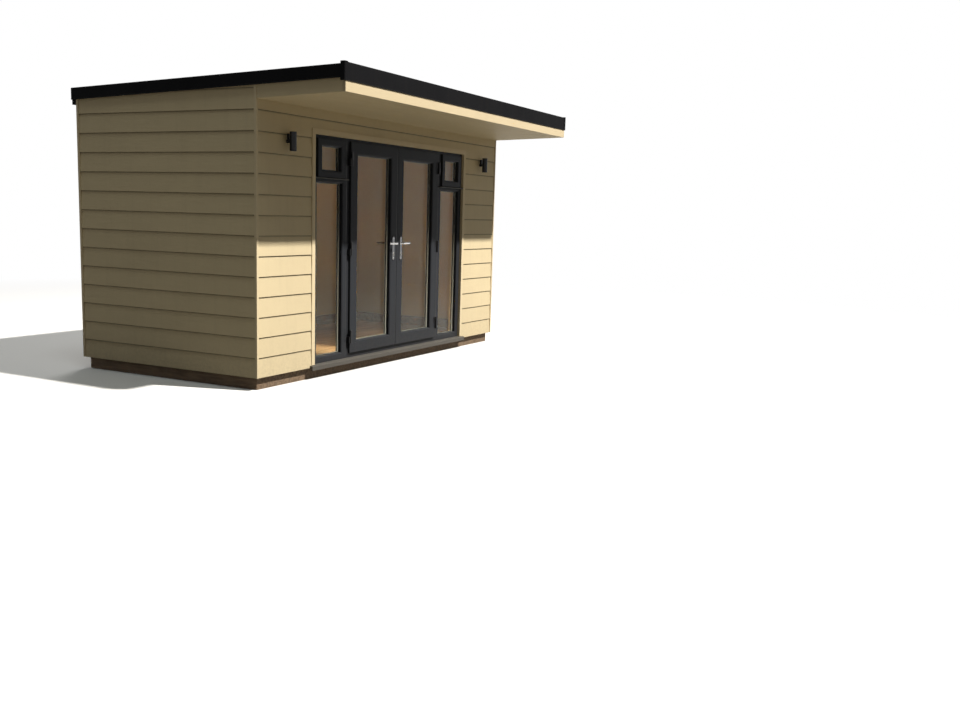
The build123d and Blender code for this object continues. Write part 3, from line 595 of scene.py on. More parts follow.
def board_finish(name, turn):
    """Cream factory paint over the wood-grain emboss along each board, with painted shade where boards lap."""
    material, tree, shader, place = finish(name, CREAM, 0.6, MATT)
    tone = own_tone(tree)
    along = mapped(tree, place, turn=turn)
    seed = times(tree, tone, SEEDS_APART)
    grain = group(tree, grain_group, Vector=along, Ring_spacing=0.018, Seed=seed)
    varied = toned(tree, (*CREAM, 1), spread(tree, tone, 0.0, 1.0, 0.975, 1.025))
    shaded = mixed(tree, times(tree, grain["Pores"], 0.06), varied, PORE_BROWN)
    # Painted shade: each board darkens towards the butt of the board above and along its own lower edge, in
    # place of the shadow at each lap.
    rise = maths(tree, "SUBTRACT", xyz_of(tree, place)[2], lowest_board)
    course = maths(tree, "FRACT", maths(tree, "DIVIDE", rise, GAUGE))
    under_lap = maths(tree, "POWER", spread(tree, course, 0.9, 1.0), 1.6)
    lower_edge = spread(tree, course, 0.0, 0.012, 1.0, 0.0)
    painted_lap_shade = times(tree, maths(tree, "MAXIMUM", under_lap, lower_edge), 0.85)
    lap_shaded = mixed(tree, painted_lap_shade, shaded, LAP_SHADE)
    worn = group(tree, weather_group, Vector=place, Color=lap_shaded, Mottle=0.035, Runs=0.05, Splash=0.3)
    dull = spread(tree, grain["Pores"], 0.0, 1.0, 0.52, 0.68)
    dusty = maths(tree, "ADD", dull, times(tree, worn["Dust"], 0.3))
    relief = maths(tree, "MULTIPLY_ADD", grain["Rings"], 0.5, times(tree, grain["Pores"], -0.6))
    cover(tree, shader, worn["Color"], dusty, relief, 0.0007, 0.8)
    return material


board_maker = boards_tree()
boards_along_x = board_finish("weatherboard_front", 0.0)
boards_along_y = board_finish("weatherboard_side", math.pi / 2)


def lap(side, node, seed):
    """Boards in place of one side's packed skin. All but the front's are cut along the roof's fall."""
    low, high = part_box(node)
    turn, start = {
        "front": (0.0, (low.x + END_GAP, low.y)),
        "right": (math.pi / 2, (high.x, low.y + END_GAP)),
        "back": (math.pi, (high.x - END_GAP, high.y)),
        "left": (-math.pi / 2, (low.x, high.y - END_GAP)),
    }[side]
    along_x = side in ("front", "back")
    run = high.x - low.x if along_x else high.y - low.y
    boards = grow(
        board_maker,
        side + "_weatherboards",
        Length=run - 2 * END_GAP,
        Courses=math.ceil((high.z - low.z) / GAUGE),
        Gauge=GAUGE,
        Height=BOARD_HEIGHT,
        Thickness=BOARD_THICKNESS,
        Lean=BOARD_LEAN,
        Jointed=side == "back",
        Seed=seed,
        Place=(*start, low.z),
        Turn=(0, 0, turn),
        Material=boards_along_x if along_x else boards_along_y,
    )
    level = ((0, 0, high.z), (0, 0, 1))
    falling = ((0, low.y, high.z), (0, ROOF_FALL, 1))
    return cut_to(boards, [level if side == "front" else falling, ((0, 0, low.z), (0, 0, -1))])


def slab(mesh, x0, x1, y0, y1, z0, z1):
    """Add a closed block to a bmesh."""
    corners = bmesh.ops.create_cube(mesh, size=1.0)["verts"]
    bmesh.ops.scale(mesh, verts=corners, vec=(x1 - x0, y1 - y0, z1 - z0))
    bmesh.ops.translate(mesh, verts=corners, vec=((x0 + x1) / 2, (y0 + y1) / 2, (z0 + z1) / 2))


def from_bmesh(name, mesh, material):
    """A new object of a bmesh, with its faces turned outwards."""
    bmesh.ops.recalc_face_normals(mesh, faces=mesh.faces)
    data = bpy.data.meshes.new(name)
    mesh.to_mesh(data)
    mesh.free()
    data.materials.append(material)
    return new_object(name, data)


def cut_out(boards, x0, x1, top):
    """Cut a doorway from the ground to its top through the front's boards."""
    doorway = bmesh.new()
    slab(doorway, x0, x1, *SAW_DEPTHS, 0.0, top)
    cutter = from_bmesh("cutter", doorway, boards.data.materials[0])
    saw = boards.modifiers.new("Doorway", "BOOLEAN")
    saw.operation = "DIFFERENCE"
    saw.solver = "EXACT"
    saw.object = cutter
    notched = evaluated(boards)
    boards.modifiers.clear()
    boards.data = notched
    bpy.data.objects.remove(cutter)


for side, seed in (("left", 3), ("right", 5), ("back", 8)):
    side_boards = lap(side, side + "_cladding", seed)
    soften(side_boards, BOARD_ARRIS)
    settle(side_boards, "building", "cladding", side + "_cladding")
trim_low, trim_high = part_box("opening_trim")
front_boards = lap("front", "front_cladding_sides", 11)
cut_out(front_boards, trim_low.x - END_GAP, trim_high.x + END_GAP, trim_high.z)
soften(front_boards, BOARD_ARRIS)
settle(front_boards, "building", "cladding", "front_cladding_sides", "front_cladding_head")


# Corner and opening trims. Pressed metal angles in the same cream, fixed before the boards, which butt
# against them. The one round the opening is lapped over the frames' packers.

CREAM_METAL = (0.74, 0.61, 0.395)
cream_metal = painted("cream_trim", CREAM_METAL, 0.5, 1400.0, 0.00008, 0.02, 0.04, 0.25, MATT)
dress(cream_metal, "corner_trims", "opening_trim")


# Roof panel. Timber joists, insulation and a decking board as one slab with a raised kerb round three
# sides. The rubber sheet is glued up and over the kerbs, and the rest is covered by the finishes.

RUBBER = (0.03, 0.03, 0.032)
SHEET = 0.003


def roof_timber():
    """Timber up to the deck's face, and black rubber on the kerbs that stand above it."""
    material = timber("roof_timber", (0.5, 0.36, 0.2), (0.34, 0.22, 0.11), 0.7, 0.012, 0.0006)
    tree = material.node_tree
    shader = tree.nodes["Principled BSDF"]
    _, y, z = xyz_of(tree, add(tree, "ShaderNodeTexCoord").outputs["Object"])
    level = maths(tree, "MULTIPLY_ADD", y, ROOF_FALL, z)
    sheet_low, sheet_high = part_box("roof_membrane")
    deck = sheet_high.z + ROOF_FALL * sheet_low.y - SHEET
    sheeted = spread(tree, level, deck - 0.001, deck)
    bare = shader.inputs["Base Color"].links[0].from_socket
    cover(tree, shader, mixed(tree, sheeted, bare, (*RUBBER, 1)))
    return material


dress(roof_timber(), "roof_panel")


# Membrane. One black rubber sheet glued to the deck between the edge trims and turned down into the
# gutter. It has a faint mould texture, chalky dust, and rings where puddles dried.


def sheet_finish():
    """Black rubber sheet with chalky dust."""
    material, tree, shader, place = finish("rubber_membrane", RUBBER, 0.8, {"Specular IOR Level": 0.3})
    cloud = noise(tree, place, 1.3, 5.0, 0.6)
    puddle = spread(tree, noise(tree, place, 0.9, 2.0, 0.5, 0.6), 0.56, 0.6)
    chalk = maths(tree, "MULTIPLY_ADD", spread(tree, cloud, 0.35, 0.7), 0.22, times(tree, puddle, 0.1))
    coloured = mixed(tree, chalk, (0.024, 0.024, 0.026, 1), (0.11, 0.105, 0.095, 1))
    dull = spread(tree, chalk, 0.0, 0.35, 0.78, 0.92)
    ripple = noise(tree, place, 3.0, 2.0, 0.4)
    texture = noise(tree, place, 260.0, 2.0, 0.5)
    cover(tree, shader, coloured, dull, maths(tree, "MULTIPLY_ADD", texture, 0.04, ripple), 0.006)
    return material


dress(sheet_finish(), "roof_membrane")


# Roof edge trims and rear fascia. Black moulded trims hooked over the kerbs and clipped down over the
# sheet, with a moulded cap at each front corner, and a black board behind the gutter.

EDGE_BLACK = (0.0095, 0.0095, 0.0105)
dull_face = {"Specular IOR Level": 0.015}
black_trim = painted("black_edge_trim", EDGE_BLACK, 0.6, 700.0, 0.00012, 0.1, 0.01, plain=dull_face)
dress(black_trim, "roof_trim_sides", "roof_trim_front", "rear_fascia")


# Canopy lining. Cream boards under the canopy with a fine V joint between them, a fascia across the front
# and a cheek at each side, all nailed to the roof panel's edge timbers.

FASCIA_STEP = 0.006
# The fascia's cream is darker than the boards': painted shade that holds back the key light on its face.
FASCIA_SHADED_CREAM = (0.62, 0.51, 0.33)


def falling_boards(node, name, count, thickness, material):
    """Boards side by side in the place of a packed sheet that falls with the roof."""
    low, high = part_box(node)
    boards = grow(
        plank_maker,
        name,
        Start=(low.x, low.y, 0.0),
        Rows=count,
        In_a_row=1,
        Length=high.x - low.x,
        Width=(high.y - low.y) / count,
        Thickness=thickness,
        Row_shift=0.0,
        Joint=0.0004,
        Material=material,
    )
    for vertex in boards.data.vertices:
        vertex.co.z += high.z - thickness - ROOF_FALL * (vertex.co.y - low.y)
    return boards


def cream_board(name, turn=0.0, colour=CREAM):
    """Cream paint over timber whose grain runs along X, or turned about Z."""
    material, tree, shader, place = finish(name, colour, 0.55, MATT)
    along = mapped(tree, place, turn=turn)
    grain = group(tree, grain_group, Vector=along, Ring_spacing=0.015, Seed=2.0)
    shaded = mixed(tree, times(tree, grain["Pores"], 0.07), (*colour, 1), PORE_BROWN)
    worn = group(tree, weather_group, Vector=place, Color=shaded, Mottle=0.03, Runs=0.03, Splash=0.0)
    dull = spread(tree, grain["Pores"], 0.0, 1.0, 0.48, 0.64)
    relief = maths(tree, "MULTIPLY_ADD", grain["Rings"], 0.4, grain["Pores"])
    cover(tree, shader, worn["Color"], dull, relief, 0.0004, 0.7)
    return material


soffit = falling_boards("canopy_soffit", "soffit_boards", 5, 0.009, cream_board("soffit_paint"))
soften(soffit, 0.0025)
settle(soffit, "building", "soffit", "canopy_soffit")
fascia_low, fascia_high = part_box("canopy_fascia")
fascia_paint = cream_board("fascia_paint", colour=FASCIA_SHADED_CREAM)
fascia = falling_boards("canopy_fascia", "fascia_board", 1, fascia_high.z - fascia_low.z, fascia_paint)
for vertex in fascia.data.vertices:
    at_foot = vertex.co.z < (fascia_low.z + fascia_high.z) / 2
    vertex.co.z = fascia_low.z if at_foot else fascia_high.z
    if vertex.co.y < (fascia_low.y + fascia_high.y) / 2:
        vertex.co.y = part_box("roof_trim_front")[0].y + FASCIA_STEP
soften(fascia, 0.002, 2)
settle(fascia, "building", "cream_board", "canopy_fascia")
dress(cream_board("cheek_paint", math.pi / 2), "canopy_cheeks")


# Ceiling and skirting. A white boarded ceiling nailed under the roof panel, and a bevelled oak skirting
# round the room, which covers the laminate's edge.

ceiling_paint = painted("ceiling_paint", (0.82, 0.81, 0.77), 0.8, 800.0, 0.00015, mottle=0.015)
ceiling = falling_boards("ceiling", "ceiling_boards", 17, 0.012, ceiling_paint)
soften(ceiling, 0.002)
settle(ceiling, "building", "ceiling_white", "ceiling")
dress(timber("skirting_oak", (0.34, 0.19, 0.095), (0.22, 0.11, 0.05), 0.45, 0.014, 0.0001), "skirting")


# Frames and cill. Welded plastic frames covered with an anthracite foil, coupled side by side on one
# plastic cill. Each corner weld is scraped to a fine groove. The drip bar over each sidelight, which throws
# the rain off, is coloured a lighter grey: a painted highlight for the light that it catches.

ANTHRACITE = (0.029, 0.031, 0.0355)
WHITE_PLASTIC = (0.8, 0.8, 0.77)
# Lighter grey of the drip bar: a painted highlight.
DRIP_HIGHLIGHT = (0.13, 0.13, 0.125)
CILL_DUST_AND_HIGHLIGHT = (0.088, 0.082, 0.073)
WELD_DEPTH = 8.0
FOIL_GRAIN = 0.00008


def welded_corners():
    """Shader group: a groove along the mitre at each corner of a frame from X0, Z0 to X1, Z1."""
    inputs = {"Vector": ("vector", None), "Groove": ("number", 0.0012)}
    inputs.update({label: ("number", 0.0) for label in ("X0", "X1", "Z0", "Z1")})
    tree, given, result = new_tree("Welded corners", "ShaderNodeTree", inputs, {"Groove": "number"})
    x, _, z = xyz_of(tree, given["Vector"])
    inward = []
    for value, low, high in ((x, given["X0"], given["X1"]), (z, given["Z0"], given["Z1"])):
        from_low = maths(tree, "SUBTRACT", value, low)
        inward.append(maths(tree, "MINIMUM", from_low, maths(tree, "SUBTRACT", high, value)))
    away = maths(tree, "ABSOLUTE", maths(tree, "SUBTRACT", *inward))
    groove = spread(tree, maths(tree, "DIVIDE", away, given["Groove"]), 0.4, 1.0, 1.0, 0.0)
    tree.links.new(groove, result["Groove"])
    return tree


weld_group = welded_corners()


def foil(name, corners, inside, paired=False, drip=None):
    """Anthracite foil with weld grooves at the corners x0, x1, z0, z1, and white behind y = inside.
    Corners of a pair are those of the right one. What stands forward of y = drip is a lighter grey, a painted
    highlight."""
    material, tree, shader, place = finish(name, ANTHRACITE, 0.42, {"Specular IOR Level": 0.04})
    values = dict(Vector=place, Color=(*ANTHRACITE, 1), Mottle=0.05, Runs=0.012, Splash=0.1)
    worn = group(tree, weather_group, **values)
    depth = xyz_of(tree, place)[1]
    behind = spread(tree, depth, inside - 0.0003, inside + 0.0003)
    colour = mixed(tree, behind, worn["Color"], (*WHITE_PLASTIC, 1))
    if drip is not None:
        # Painted highlight: the drip bar that stands forward is a lighter grey, in place of the light it
        # catches.
        colour = mixed(tree, spread(tree, depth, drip - 0.0005, drip, 1.0, 0.0), colour, (*DRIP_HIGHLIGHT, 1))
    where = result_of(tree, "ShaderNodeVectorMath", {0: place}, operation="ABSOLUTE") if paired else place
    edges = dict(zip(("X0", "X1", "Z0", "Z1"), corners))
    weld = group(tree, weld_group, Vector=where, **edges)["Groove"]
    shade = mixed(tree, times(tree, weld, 0.6), (1, 1, 1, 1), (0.3, 0.3, 0.3, 1))
    grooved = mixed(tree, 1.0, colour, shade, "MULTIPLY")
    gloss = spread(tree, noise(tree, place, 5.0, 4.0, 0.6), *NOISE_SPAN, 0.33, 0.43)
    dusty = maths(tree, "ADD", gloss, times(tree, worn["Dust"], DUST_DULLS))
    leather = noise(tree, place, 1500.0, 3.0, 0.6)
    relief = maths(tree, "MULTIPLY_ADD", weld, -WELD_DEPTH, leather)
    cover(tree, shader, grooved, dusty, relief, FOIL_GRAIN)
    return material


def corners_of(node):
    """x0, x1, z0, z1 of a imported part."""
    low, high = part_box(node)
    return (low.x, high.x, low.z, high.z)


def middle_depth(node):
    """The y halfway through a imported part."""
    low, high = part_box(node)
    return (low.y + high.y) / 2


satin = {"Specular IOR Level": 0.12}
# The cill is paler than the frames' foil: partly dust, and partly painted light for the sun caught on its
# rounded nose.
dress(painted("cill_foil", CILL_DUST_AND_HIGHLIGHT, 0.45, 1500.0, 0.00008, 0.07, 0.04, 0.2, satin), "cill")
door_frame_low, door_frame_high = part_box("door_frame")
drip_back = door_frame_low.y - 0.002
fixed_depth = middle_depth("sidelight_glass")
for part in ("sidelight_frame_left", "sidelight_frame_right", "door_frame"):
    dress(foil(part + "_foil", corners_of(part), fixed_depth, drip=drip_back), part)
for part in ("left_door_leaf", "right_door_leaf"):
    dress(foil(part + "_foil", corners_of(part), middle_depth("left_door_glass")), part)
sash_low, sash_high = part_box("fanlight_sashes")
sidelight_low, sidelight_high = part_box("sidelight_frame_right")
right_sash = (sidelight_low.x + sidelight_high.x - sash_high.x, sash_high.x, sash_low.z, sash_high.z)
fanlight_foil = foil("fanlight_foil", right_sash, middle_depth("fanlight_glass"), paired=True)
dress(fanlight_foil, "fanlight_sashes")


# Coupling seams. The frames stand side by side, screwed together through their jambs. A black rubber bead
# is pressed into each joint between them, level with their faces.

SEAM = 0.0055
SEAM_DEPTHS = (-0.0006, 0.004)
SEAM_END = 0.001
gasket_rubber = painted("gasket_rubber", (0.012, 0.012, 0.013), 0.55, 900.0, 0.00006, mottle=0.08)
seams = bmesh.new()
for joint in (door_frame_low.x, door_frame_high.x):
    depths = [door_frame_low.y + depth for depth in SEAM_DEPTHS]
    heights = (door_frame_low.z + SEAM_END, door_frame_high.z - SEAM_END)
    slab(seams, joint - SEAM / 2, joint + SEAM / 2, *depths, *heights)
coupling_seams = from_bmesh("coupling_seams", seams, gasket_rubber)
soften(coupling_seams, 0.0005, 2)
settle(coupling_seams, "building", "membrane")


# Glass. Sealed units of two 4 mm panes with a dark warm-edge spacer bar between them, bedded on black
# gaskets and held by the glazing beads.

PANE = 0.004
SPACER = 0.0075
SPACER_PLAY = 0.0004
GASKET = 0.004
GASKET_DEPTH = 0.003
GLASS_EDGE = 0.011
spacer_inset = GLASS_EDGE - 0.001 + SPACER / 2
gasket_inset = GLASS_EDGE - 0.0005 + GASKET / 2


def instead(tree, share, usual, other, output="Material Output"):
    """Show another shader in place of the usual one, by share."""
    both = result_of(tree, "ShaderNodeMixShader", {0: share, 1: usual, 2: other})
    tree.links.new(both, tree.nodes[output].inputs["Surface"])


def clear_glass():
    """Clear glass, which lets shadow rays through."""
    plain = {"Transmission Weight": 1.0, "IOR": 1.13}
    material, tree, shader, place = finish("clear_glass", (0.94, 0.975, 0.955), 0.0, plain)
    cover(tree, shader, height=noise(tree, place, 2.2, 1.0, 0.4), depth=0.0004, strength=0.35)
    let_through = result_of(tree, "ShaderNodeBsdfTransparent", {"Color": (0.93, 0.96, 0.945, 1)})
    shadow = add(tree, "ShaderNodeLightPath").outputs["Is Shadow Ray"]
    instead(tree, shadow, shader.outputs[0], let_through)
    return material


def strip_tree():
    """Geometry tree: a square-section strip round an upright rectangle, mitred at its corners."""
    inputs = {
        "Width": ("number", 0.5),
        "Height": ("number", 1.5),
        "Across": ("number", 0.004),
        "Deep": ("number", 0.004),
        "Centre": ("vector", (0, 0, 0)),
        "Material": ("material", None),
    }
    tree, given, result = new_tree("Strip round a light", "GeometryNodeTree", inputs, {"Geometry": "shape"})
    wide = times(tree, given["Across"], math.sqrt(2))
    rectangles = []
    for width, height in ((given["Width"], given["Height"]), (wide, given["Deep"])):
        sockets = {"Width": width, "Height": height}
        kind = "GeometryNodeCurvePrimitiveQuadrilateral"
        rectangles.append(result_of(tree, kind, sockets, mode="RECTANGLE"))
    sockets = {"Curve": rectangles[0], "Profile Curve": rectangles[1]}
    strip = result_of(tree, "GeometryNodeCurveToMesh", sockets)
    upright = placed(tree, strip, given["Centre"], (math.pi / 2, 0, 0))
    give_out(tree, upright, given["Material"], result)
    return tree


clear = clear_glass()
warm_edge = painted("spacer_bar", (0.13, 0.115, 0.09), 0.4, 700.0, 0.00004)
strip_maker = strip_tree()


def strip(name, corners, y, inset, across, deep, material):
    """A strip round the upright rectangle x0, x1, z0, z1, drawn in by inset."""
    x0, x1, z0, z1 = corners
    return grow(
        strip_maker,
        name,
        Width=x1 - x0 - 2 * inset,
        Height=z1 - z0 - 2 * inset,
        Across=across,
        Deep=deep,
        Centre=((x0 + x1) / 2, y, (z0 + z1) / 2),
        Material=material,
    )


def units_of(node, pair):
    """x0, x1, z0, z1 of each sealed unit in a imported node, which holds one unit or a pair of equal ones."""
    x0, x1, z0, z1 = corners_of(node)
    if not pair:
        return [(x0, x1, z0, z1)]
    frame_low, frame_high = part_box("sidelight_frame_left")
    width = frame_low.x + frame_high.x - 2 * x0
    return [(x0, x0 + width, z0, z1), (x1 - width, x1, z0, z1)]


def glaze(name, node, body, pair=False):
    """Panes, spacers and gaskets of one packed glass node."""
    front, back = (corner.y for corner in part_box(node))
    gap = back - front - 2 * PANE - SPACER_PLAY
    panes = bmesh.new()
    bars = []
    seals = []
    for unit in units_of(node, pair):
        x0, x1, z0, z1 = unit
        slab(panes, x0, x1, front, front + PANE, z0, z1)
        slab(panes, x0, x1, back - PANE, back, z0, z1)
        bars.append(strip(name + "_spacer", unit, (front + back) / 2, spacer_inset, SPACER, gap, warm_edge))
        for y in (front - GASKET_DEPTH / 2, back + GASKET_DEPTH / 2):
            sizes = (gasket_inset, GASKET, GASKET_DEPTH)
            seals.append(strip(name + "_gasket", unit, y, *sizes, gasket_rubber))
    settle(from_bmesh(name + "_panes", panes, clear), body, "glass", node)
    settle(joined(name + "_spacers", bars), body, "membrane")
    gaskets = joined(name + "_gaskets", seals)
    soften(gaskets, 0.001, 2)
    settle(gaskets, body, "membrane")


glaze("sidelight", "sidelight_glass", "building", pair=True)
glaze("fanlight", "fanlight_glass", "building", pair=True)
glaze("left_door", "left_door_glass", "left_door")
glaze("right_door", "right_door_glass", "right_door")


# Weather seals. Black rubber profiles pushed into grooves: one behind each leaf's edge, one on the frame's
# stop, and a lip on the left leaf that closes the gap where the leaves meet.

FRAME_FACE = 0.058
STOP_REACH = 0.014
LEAF_OVERLAP = 0.016
OVERLAP_DEPTH = 0.015
MEETING_SETBACK = 0.005
SEAL_WIDTH = 0.006
SEAL_DEPTH = 0.0044
STOP_CLEARANCE = 0.005
SEAL_FROM_STOP = 0.004
SEAL_FROM_MEETING = 0.008
SEAL_ARRIS = 0.0015
LIP = (
    (0.0, 0.003, 0.017, 0.025, 0.03),
    (0.0025, 0.01, 0.02, 0.0215, 0.03),
    (0.0, 0.0055, -0.0008, 0.004, 0.004),
)
leaf_low, leaf_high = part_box("left_door_leaf")
stop_y = leaf_high.y + STOP_CLEARANCE - SEAL_DEPTH / 2
stop_inset = FRAME_FACE + STOP_REACH - SEAL_FROM_STOP
sizes = (stop_inset, SEAL_WIDTH, SEAL_DEPTH)
stop_seal = strip("stop_seal", corners_of("door_frame"), stop_y, *sizes, gasket_rubber)
soften(stop_seal, SEAL_ARRIS, 2)
settle(stop_seal, "building", "membrane")


def leaf_seal(side, way):
    """The seal behind a leaf's edge, on three sides: it ends at the meeting edge, way of the middle."""
    low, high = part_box(side + "_door_leaf")
    past = 0.1 + LEAF_OVERLAP
    reach = (low.x, high.x + past) if way > 0 else (low.x - past, high.x)
    meeting = high.x if way > 0 else low.x
    y = low.y + OVERLAP_DEPTH + SEAL_DEPTH / 2
    sizes = (LEAF_OVERLAP / 2, SEAL_WIDTH, SEAL_DEPTH)
    ring = strip(side + "_leaf_seal", (*reach, low.z, high.z), y, *sizes, gasket_rubber)
    cut_to(ring, [((meeting - way * SEAL_FROM_MEETING, 0, 0), (way, 0, 0))])
    soften(ring, SEAL_ARRIS, 2)
    settle(ring, side + "_door", "membrane")


leaf_seal("left", 1)
leaf_seal("right", -1)
left_edge = leaf_high.x - MEETING_SETBACK
lip = bmesh.new()
for x0, x1, y0, y1, from_ends in LIP:
    depths = (leaf_low.y + y0, leaf_low.y + y1)
    heights = (leaf_low.z + from_ends, leaf_high.z - from_ends)
    slab(lip, left_edge + x0, left_edge + x1, *depths, *heights)
meeting_lip = from_bmesh("meeting_lip", lip, gasket_rubber)
soften(meeting_lip, 0.0005, 2)
settle(meeting_lip, "left_door", "membrane")


# Lock. A steel face plate let into the right leaf's edge, with a sprung latch at the levers and two bolt
# cases, and three keep plates on the left leaf. Countersunk screws hold them. The slots in the face plate
# and the pockets behind the keeps are black slabs: painted shade.

CYLINDER_DROP = 0.092
LEVER_OVER_MIDDLE = 0.046
BOLT_HEIGHTS = (0.56, 1.66)
PLATE_MIDDLE = 1.1
PLATE_SCREWS = (0.36, 0.62, 0.9, 1.26, 1.5, 1.72, 1.84)
KEEP_SCREW = 0.055
SHEET_METAL = 0.0015
POCKET_STEP = 0.0017
LOCK_SCREW_RADIUS = 0.0035
MOST_TURNED = 1.5
LATCH_BACK = 0.007
LATCH_STEP = 0.001
LATCH_SLOPE = 0.004
HALF_SIZES = {
    "face_plate": (0.008, 0.76),
    "latch": (0.006, 0.013),
    "bolt_slot_shades": (0.0055, 0.022),
    "keep_plates": (0.01, 0.07),
    "keep_slot_shades": (0.006, 0.024),
}
METAL = {"Metallic": 1.0}


def screw_heads():
    """Geometry tree: a countersunk head with a cross recess at each point, all facing one way, each turned
    at random."""
    inputs = {
        "Points": ("shape", None),
        "Radius": ("number", 0.004),
        "Height": ("number", 0.0012),
        "Turn": ("vector", (0, 0, 0)),
        "Seed": ("count", 1),
        "Material": ("material", None),
    }
    tree, given, result = new_tree("Screw heads", "GeometryNodeTree", inputs, {"Geometry": "shape"})
    top = times(tree, given["Radius"], 0.8)
    sockets = {"Vertices": 16, "Radius Top": top, "Radius Bottom": given["Radius"], "Depth": given["Height"]}
    head = add(tree, "GeometryNodeMeshCone", sockets).outputs["Mesh"]
    long = times(tree, given["Radius"], 1.1)
    thin = times(tree, given["Radius"], 0.26)
    settings = dict(operation="DIFFERENCE", solver="EXACT")
    recessed = add(tree, "GeometryNodeMeshBoolean", {"Mesh 1": head}, **settings)
    for x, y in ((long, thin), (thin, long)):
        bar = result_of(tree, "GeometryNodeMeshCube", {"Size": xyz(tree, x, y, given["Height"])})
        lift = xyz(tree, 0.0, 0.0, times(tree, given["Height"], 0.75))
        tree.links.new(placed(tree, bar, lift), recessed.inputs["Mesh 2"])
    heads = copies(tree, given["Points"], recessed.outputs[0], Rotation=given["Turn"])
    angle = random_value(tree, given["Seed"], 0.0, MOST_TURNED)
    sockets = {"Instances": heads, "Rotation": xyz(tree, 0.0, 0.0, angle)}
    turned = result_of(tree, "GeometryNodeRotateInstances", sockets)
    give_out(tree, turned, given["Material"], result)
    return tree


FACING = {
    "front": (math.pi / 2, 0, 0),
    "back": (-math.pi / 2, 0, 0),
    "left": (0, -math.pi / 2, 0),
    "right": (0, math.pi / 2, 0),
}
screw_maker = screw_heads()
zinc = painted("zinc_plate", (0.5, 0.5, 0.49), 0.32, 900.0, 0.00002, mottle=0.06, plain=METAL)
# Black for the slots in the lock's plates and for the keyways: painted shade.
slot_shade = painted("lock_slot_shade", (0.01, 0.01, 0.01), 0.6, 600.0, 0.00002)


def screws(name, points, facing, radius, material, seed):
    """Screw heads at the points, facing front, back, left or right."""
    values = dict(Radius=radius, Height=0.3 * radius, Turn=FACING[facing], Seed=seed, Material=material)
    return grow(screw_maker, name, points, **values)


def on_edge(name, x0, x1, heights, material):
    """Upright plates of the named half sizes on a leaf's edge from x0 to x1, one about each height."""
    half, tall = HALF_SIZES[name]
    mesh = bmesh.new()
    for height in heights:
        slab(mesh, x0, x1, lock_y - half, lock_y + half, height - tall, height + tall)
    return from_bmesh(name, mesh, material)


lever_low, lever_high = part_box("left_door_handles")
lever_z = (lever_low.z + lever_high.z) / 2 + LEVER_OVER_MIDDLE
lock_y = (leaf_low.y + OVERLAP_DEPTH + leaf_high.y) / 2
right_edge = -left_edge
bolt_low, bolt_high = BOLT_HEIGHTS
latch = on_edge("latch", right_edge - LATCH_BACK, right_edge - LATCH_STEP, [lever_z], zinc)
for vertex in latch.data.vertices:
    if vertex.co.x < right_edge - (LATCH_BACK + LATCH_STEP) / 2 and vertex.co.y < lock_y:
        vertex.co.x += LATCH_SLOPE
case_x = right_edge - POCKET_STEP
case_heights = (bolt_low, lever_z - CYLINDER_DROP, bolt_high)
lock_points = [(case_x, lock_y, z) for z in PLATE_SCREWS]
lock_parts = [
    on_edge("face_plate", right_edge - SHEET_METAL, right_edge, [PLATE_MIDDLE], zinc),
    latch,
    on_edge("bolt_slot_shades", case_x, right_edge, case_heights, slot_shade),
    screws("lock_screws", lock_points, "left", LOCK_SCREW_RADIUS, zinc, 3),
]
settle(joined("lock_plate", lock_parts), "right_door", "handle_chrome")
keep_heights = (bolt_low, lever_z, bolt_high)
pocket_x = left_edge + POCKET_STEP
keep_points = [(pocket_x, lock_y, z + way * KEEP_SCREW) for z in keep_heights for way in (-1, 1)]
keep_parts = [
    on_edge("keep_plates", left_edge, left_edge + SHEET_METAL, keep_heights, zinc),
    on_edge("keep_slot_shades", left_edge, pocket_x, keep_heights, slot_shade),
    screws("keep_screws", keep_points, "right", LOCK_SCREW_RADIUS, zinc, 4),
]
settle(joined("keeps", keep_parts), "left_door", "handle_chrome")


# Door furniture. Long polished plates outside and inside, each with a sprung lever on a turned neck and a
# lock cylinder below it. Two screws through the leaf hold each pair of plates.

PLATE_HALF = 0.016
PLATE_STEPS = ((0.0, 0.0), (0.0045, 0.0), (0.0075, 0.0012), (0.0086, 0.0028), (0.009, 0.0052))
NECK = ((0.0085, 0.015), (0.0105, 0.015), (0.012, 0.0138), (0.013, 0.0112), (0.02, 0.0096), (0.044, 0.009))
COLLAR = ((0.0085, 0.0112), (0.0096, 0.0112), (0.0104, 0.0102), (0.0104, 0.0088))
CYLINDER = ((0.0088, 0.0), (0.0128, 0.0), (0.0132, 0.0005))
CYLINDER_RADIUS = 0.0085
CYLINDER_TAIL = (-0.0235, 0.004)
KEYWAY_DEPTHS = (0.0125, 0.0134)
KEYWAY = ((0.0007, -0.0052, 0.0034), (0.0016, -0.0008, 0.0014))
SCREW_FROM_END = 0.018
SCREW_STAND = 0.0092
LEVER = (
    (-0.0100, 0.047, 0.0050, 0.0045),
    (-0.0095, 0.047, 0.0085, 0.0070),
    (-0.0050, 0.047, 0.0105, 0.0080),
    (0.0060, 0.047, 0.0108, 0.0078),
    (0.0250, 0.048, 0.0096, 0.0066),
    (0.0550, 0.049, 0.0086, 0.0056),
    (0.0850, 0.048, 0.0084, 0.0052),
    (0.1020, 0.045, 0.0084, 0.0050),
    (0.1090, 0.042, 0.0078, 0.0046),
    (0.1115, 0.041, 0.0056, 0.0034),
)


def smoothed(mesh):
    """Shade a bmesh smooth, apart from its sharp edges."""
    for face in mesh.faces:
        face.smooth = True
    for edge in mesh.edges:
        edge.smooth = edge.calc_face_angle(0.0) < math.radians(32)


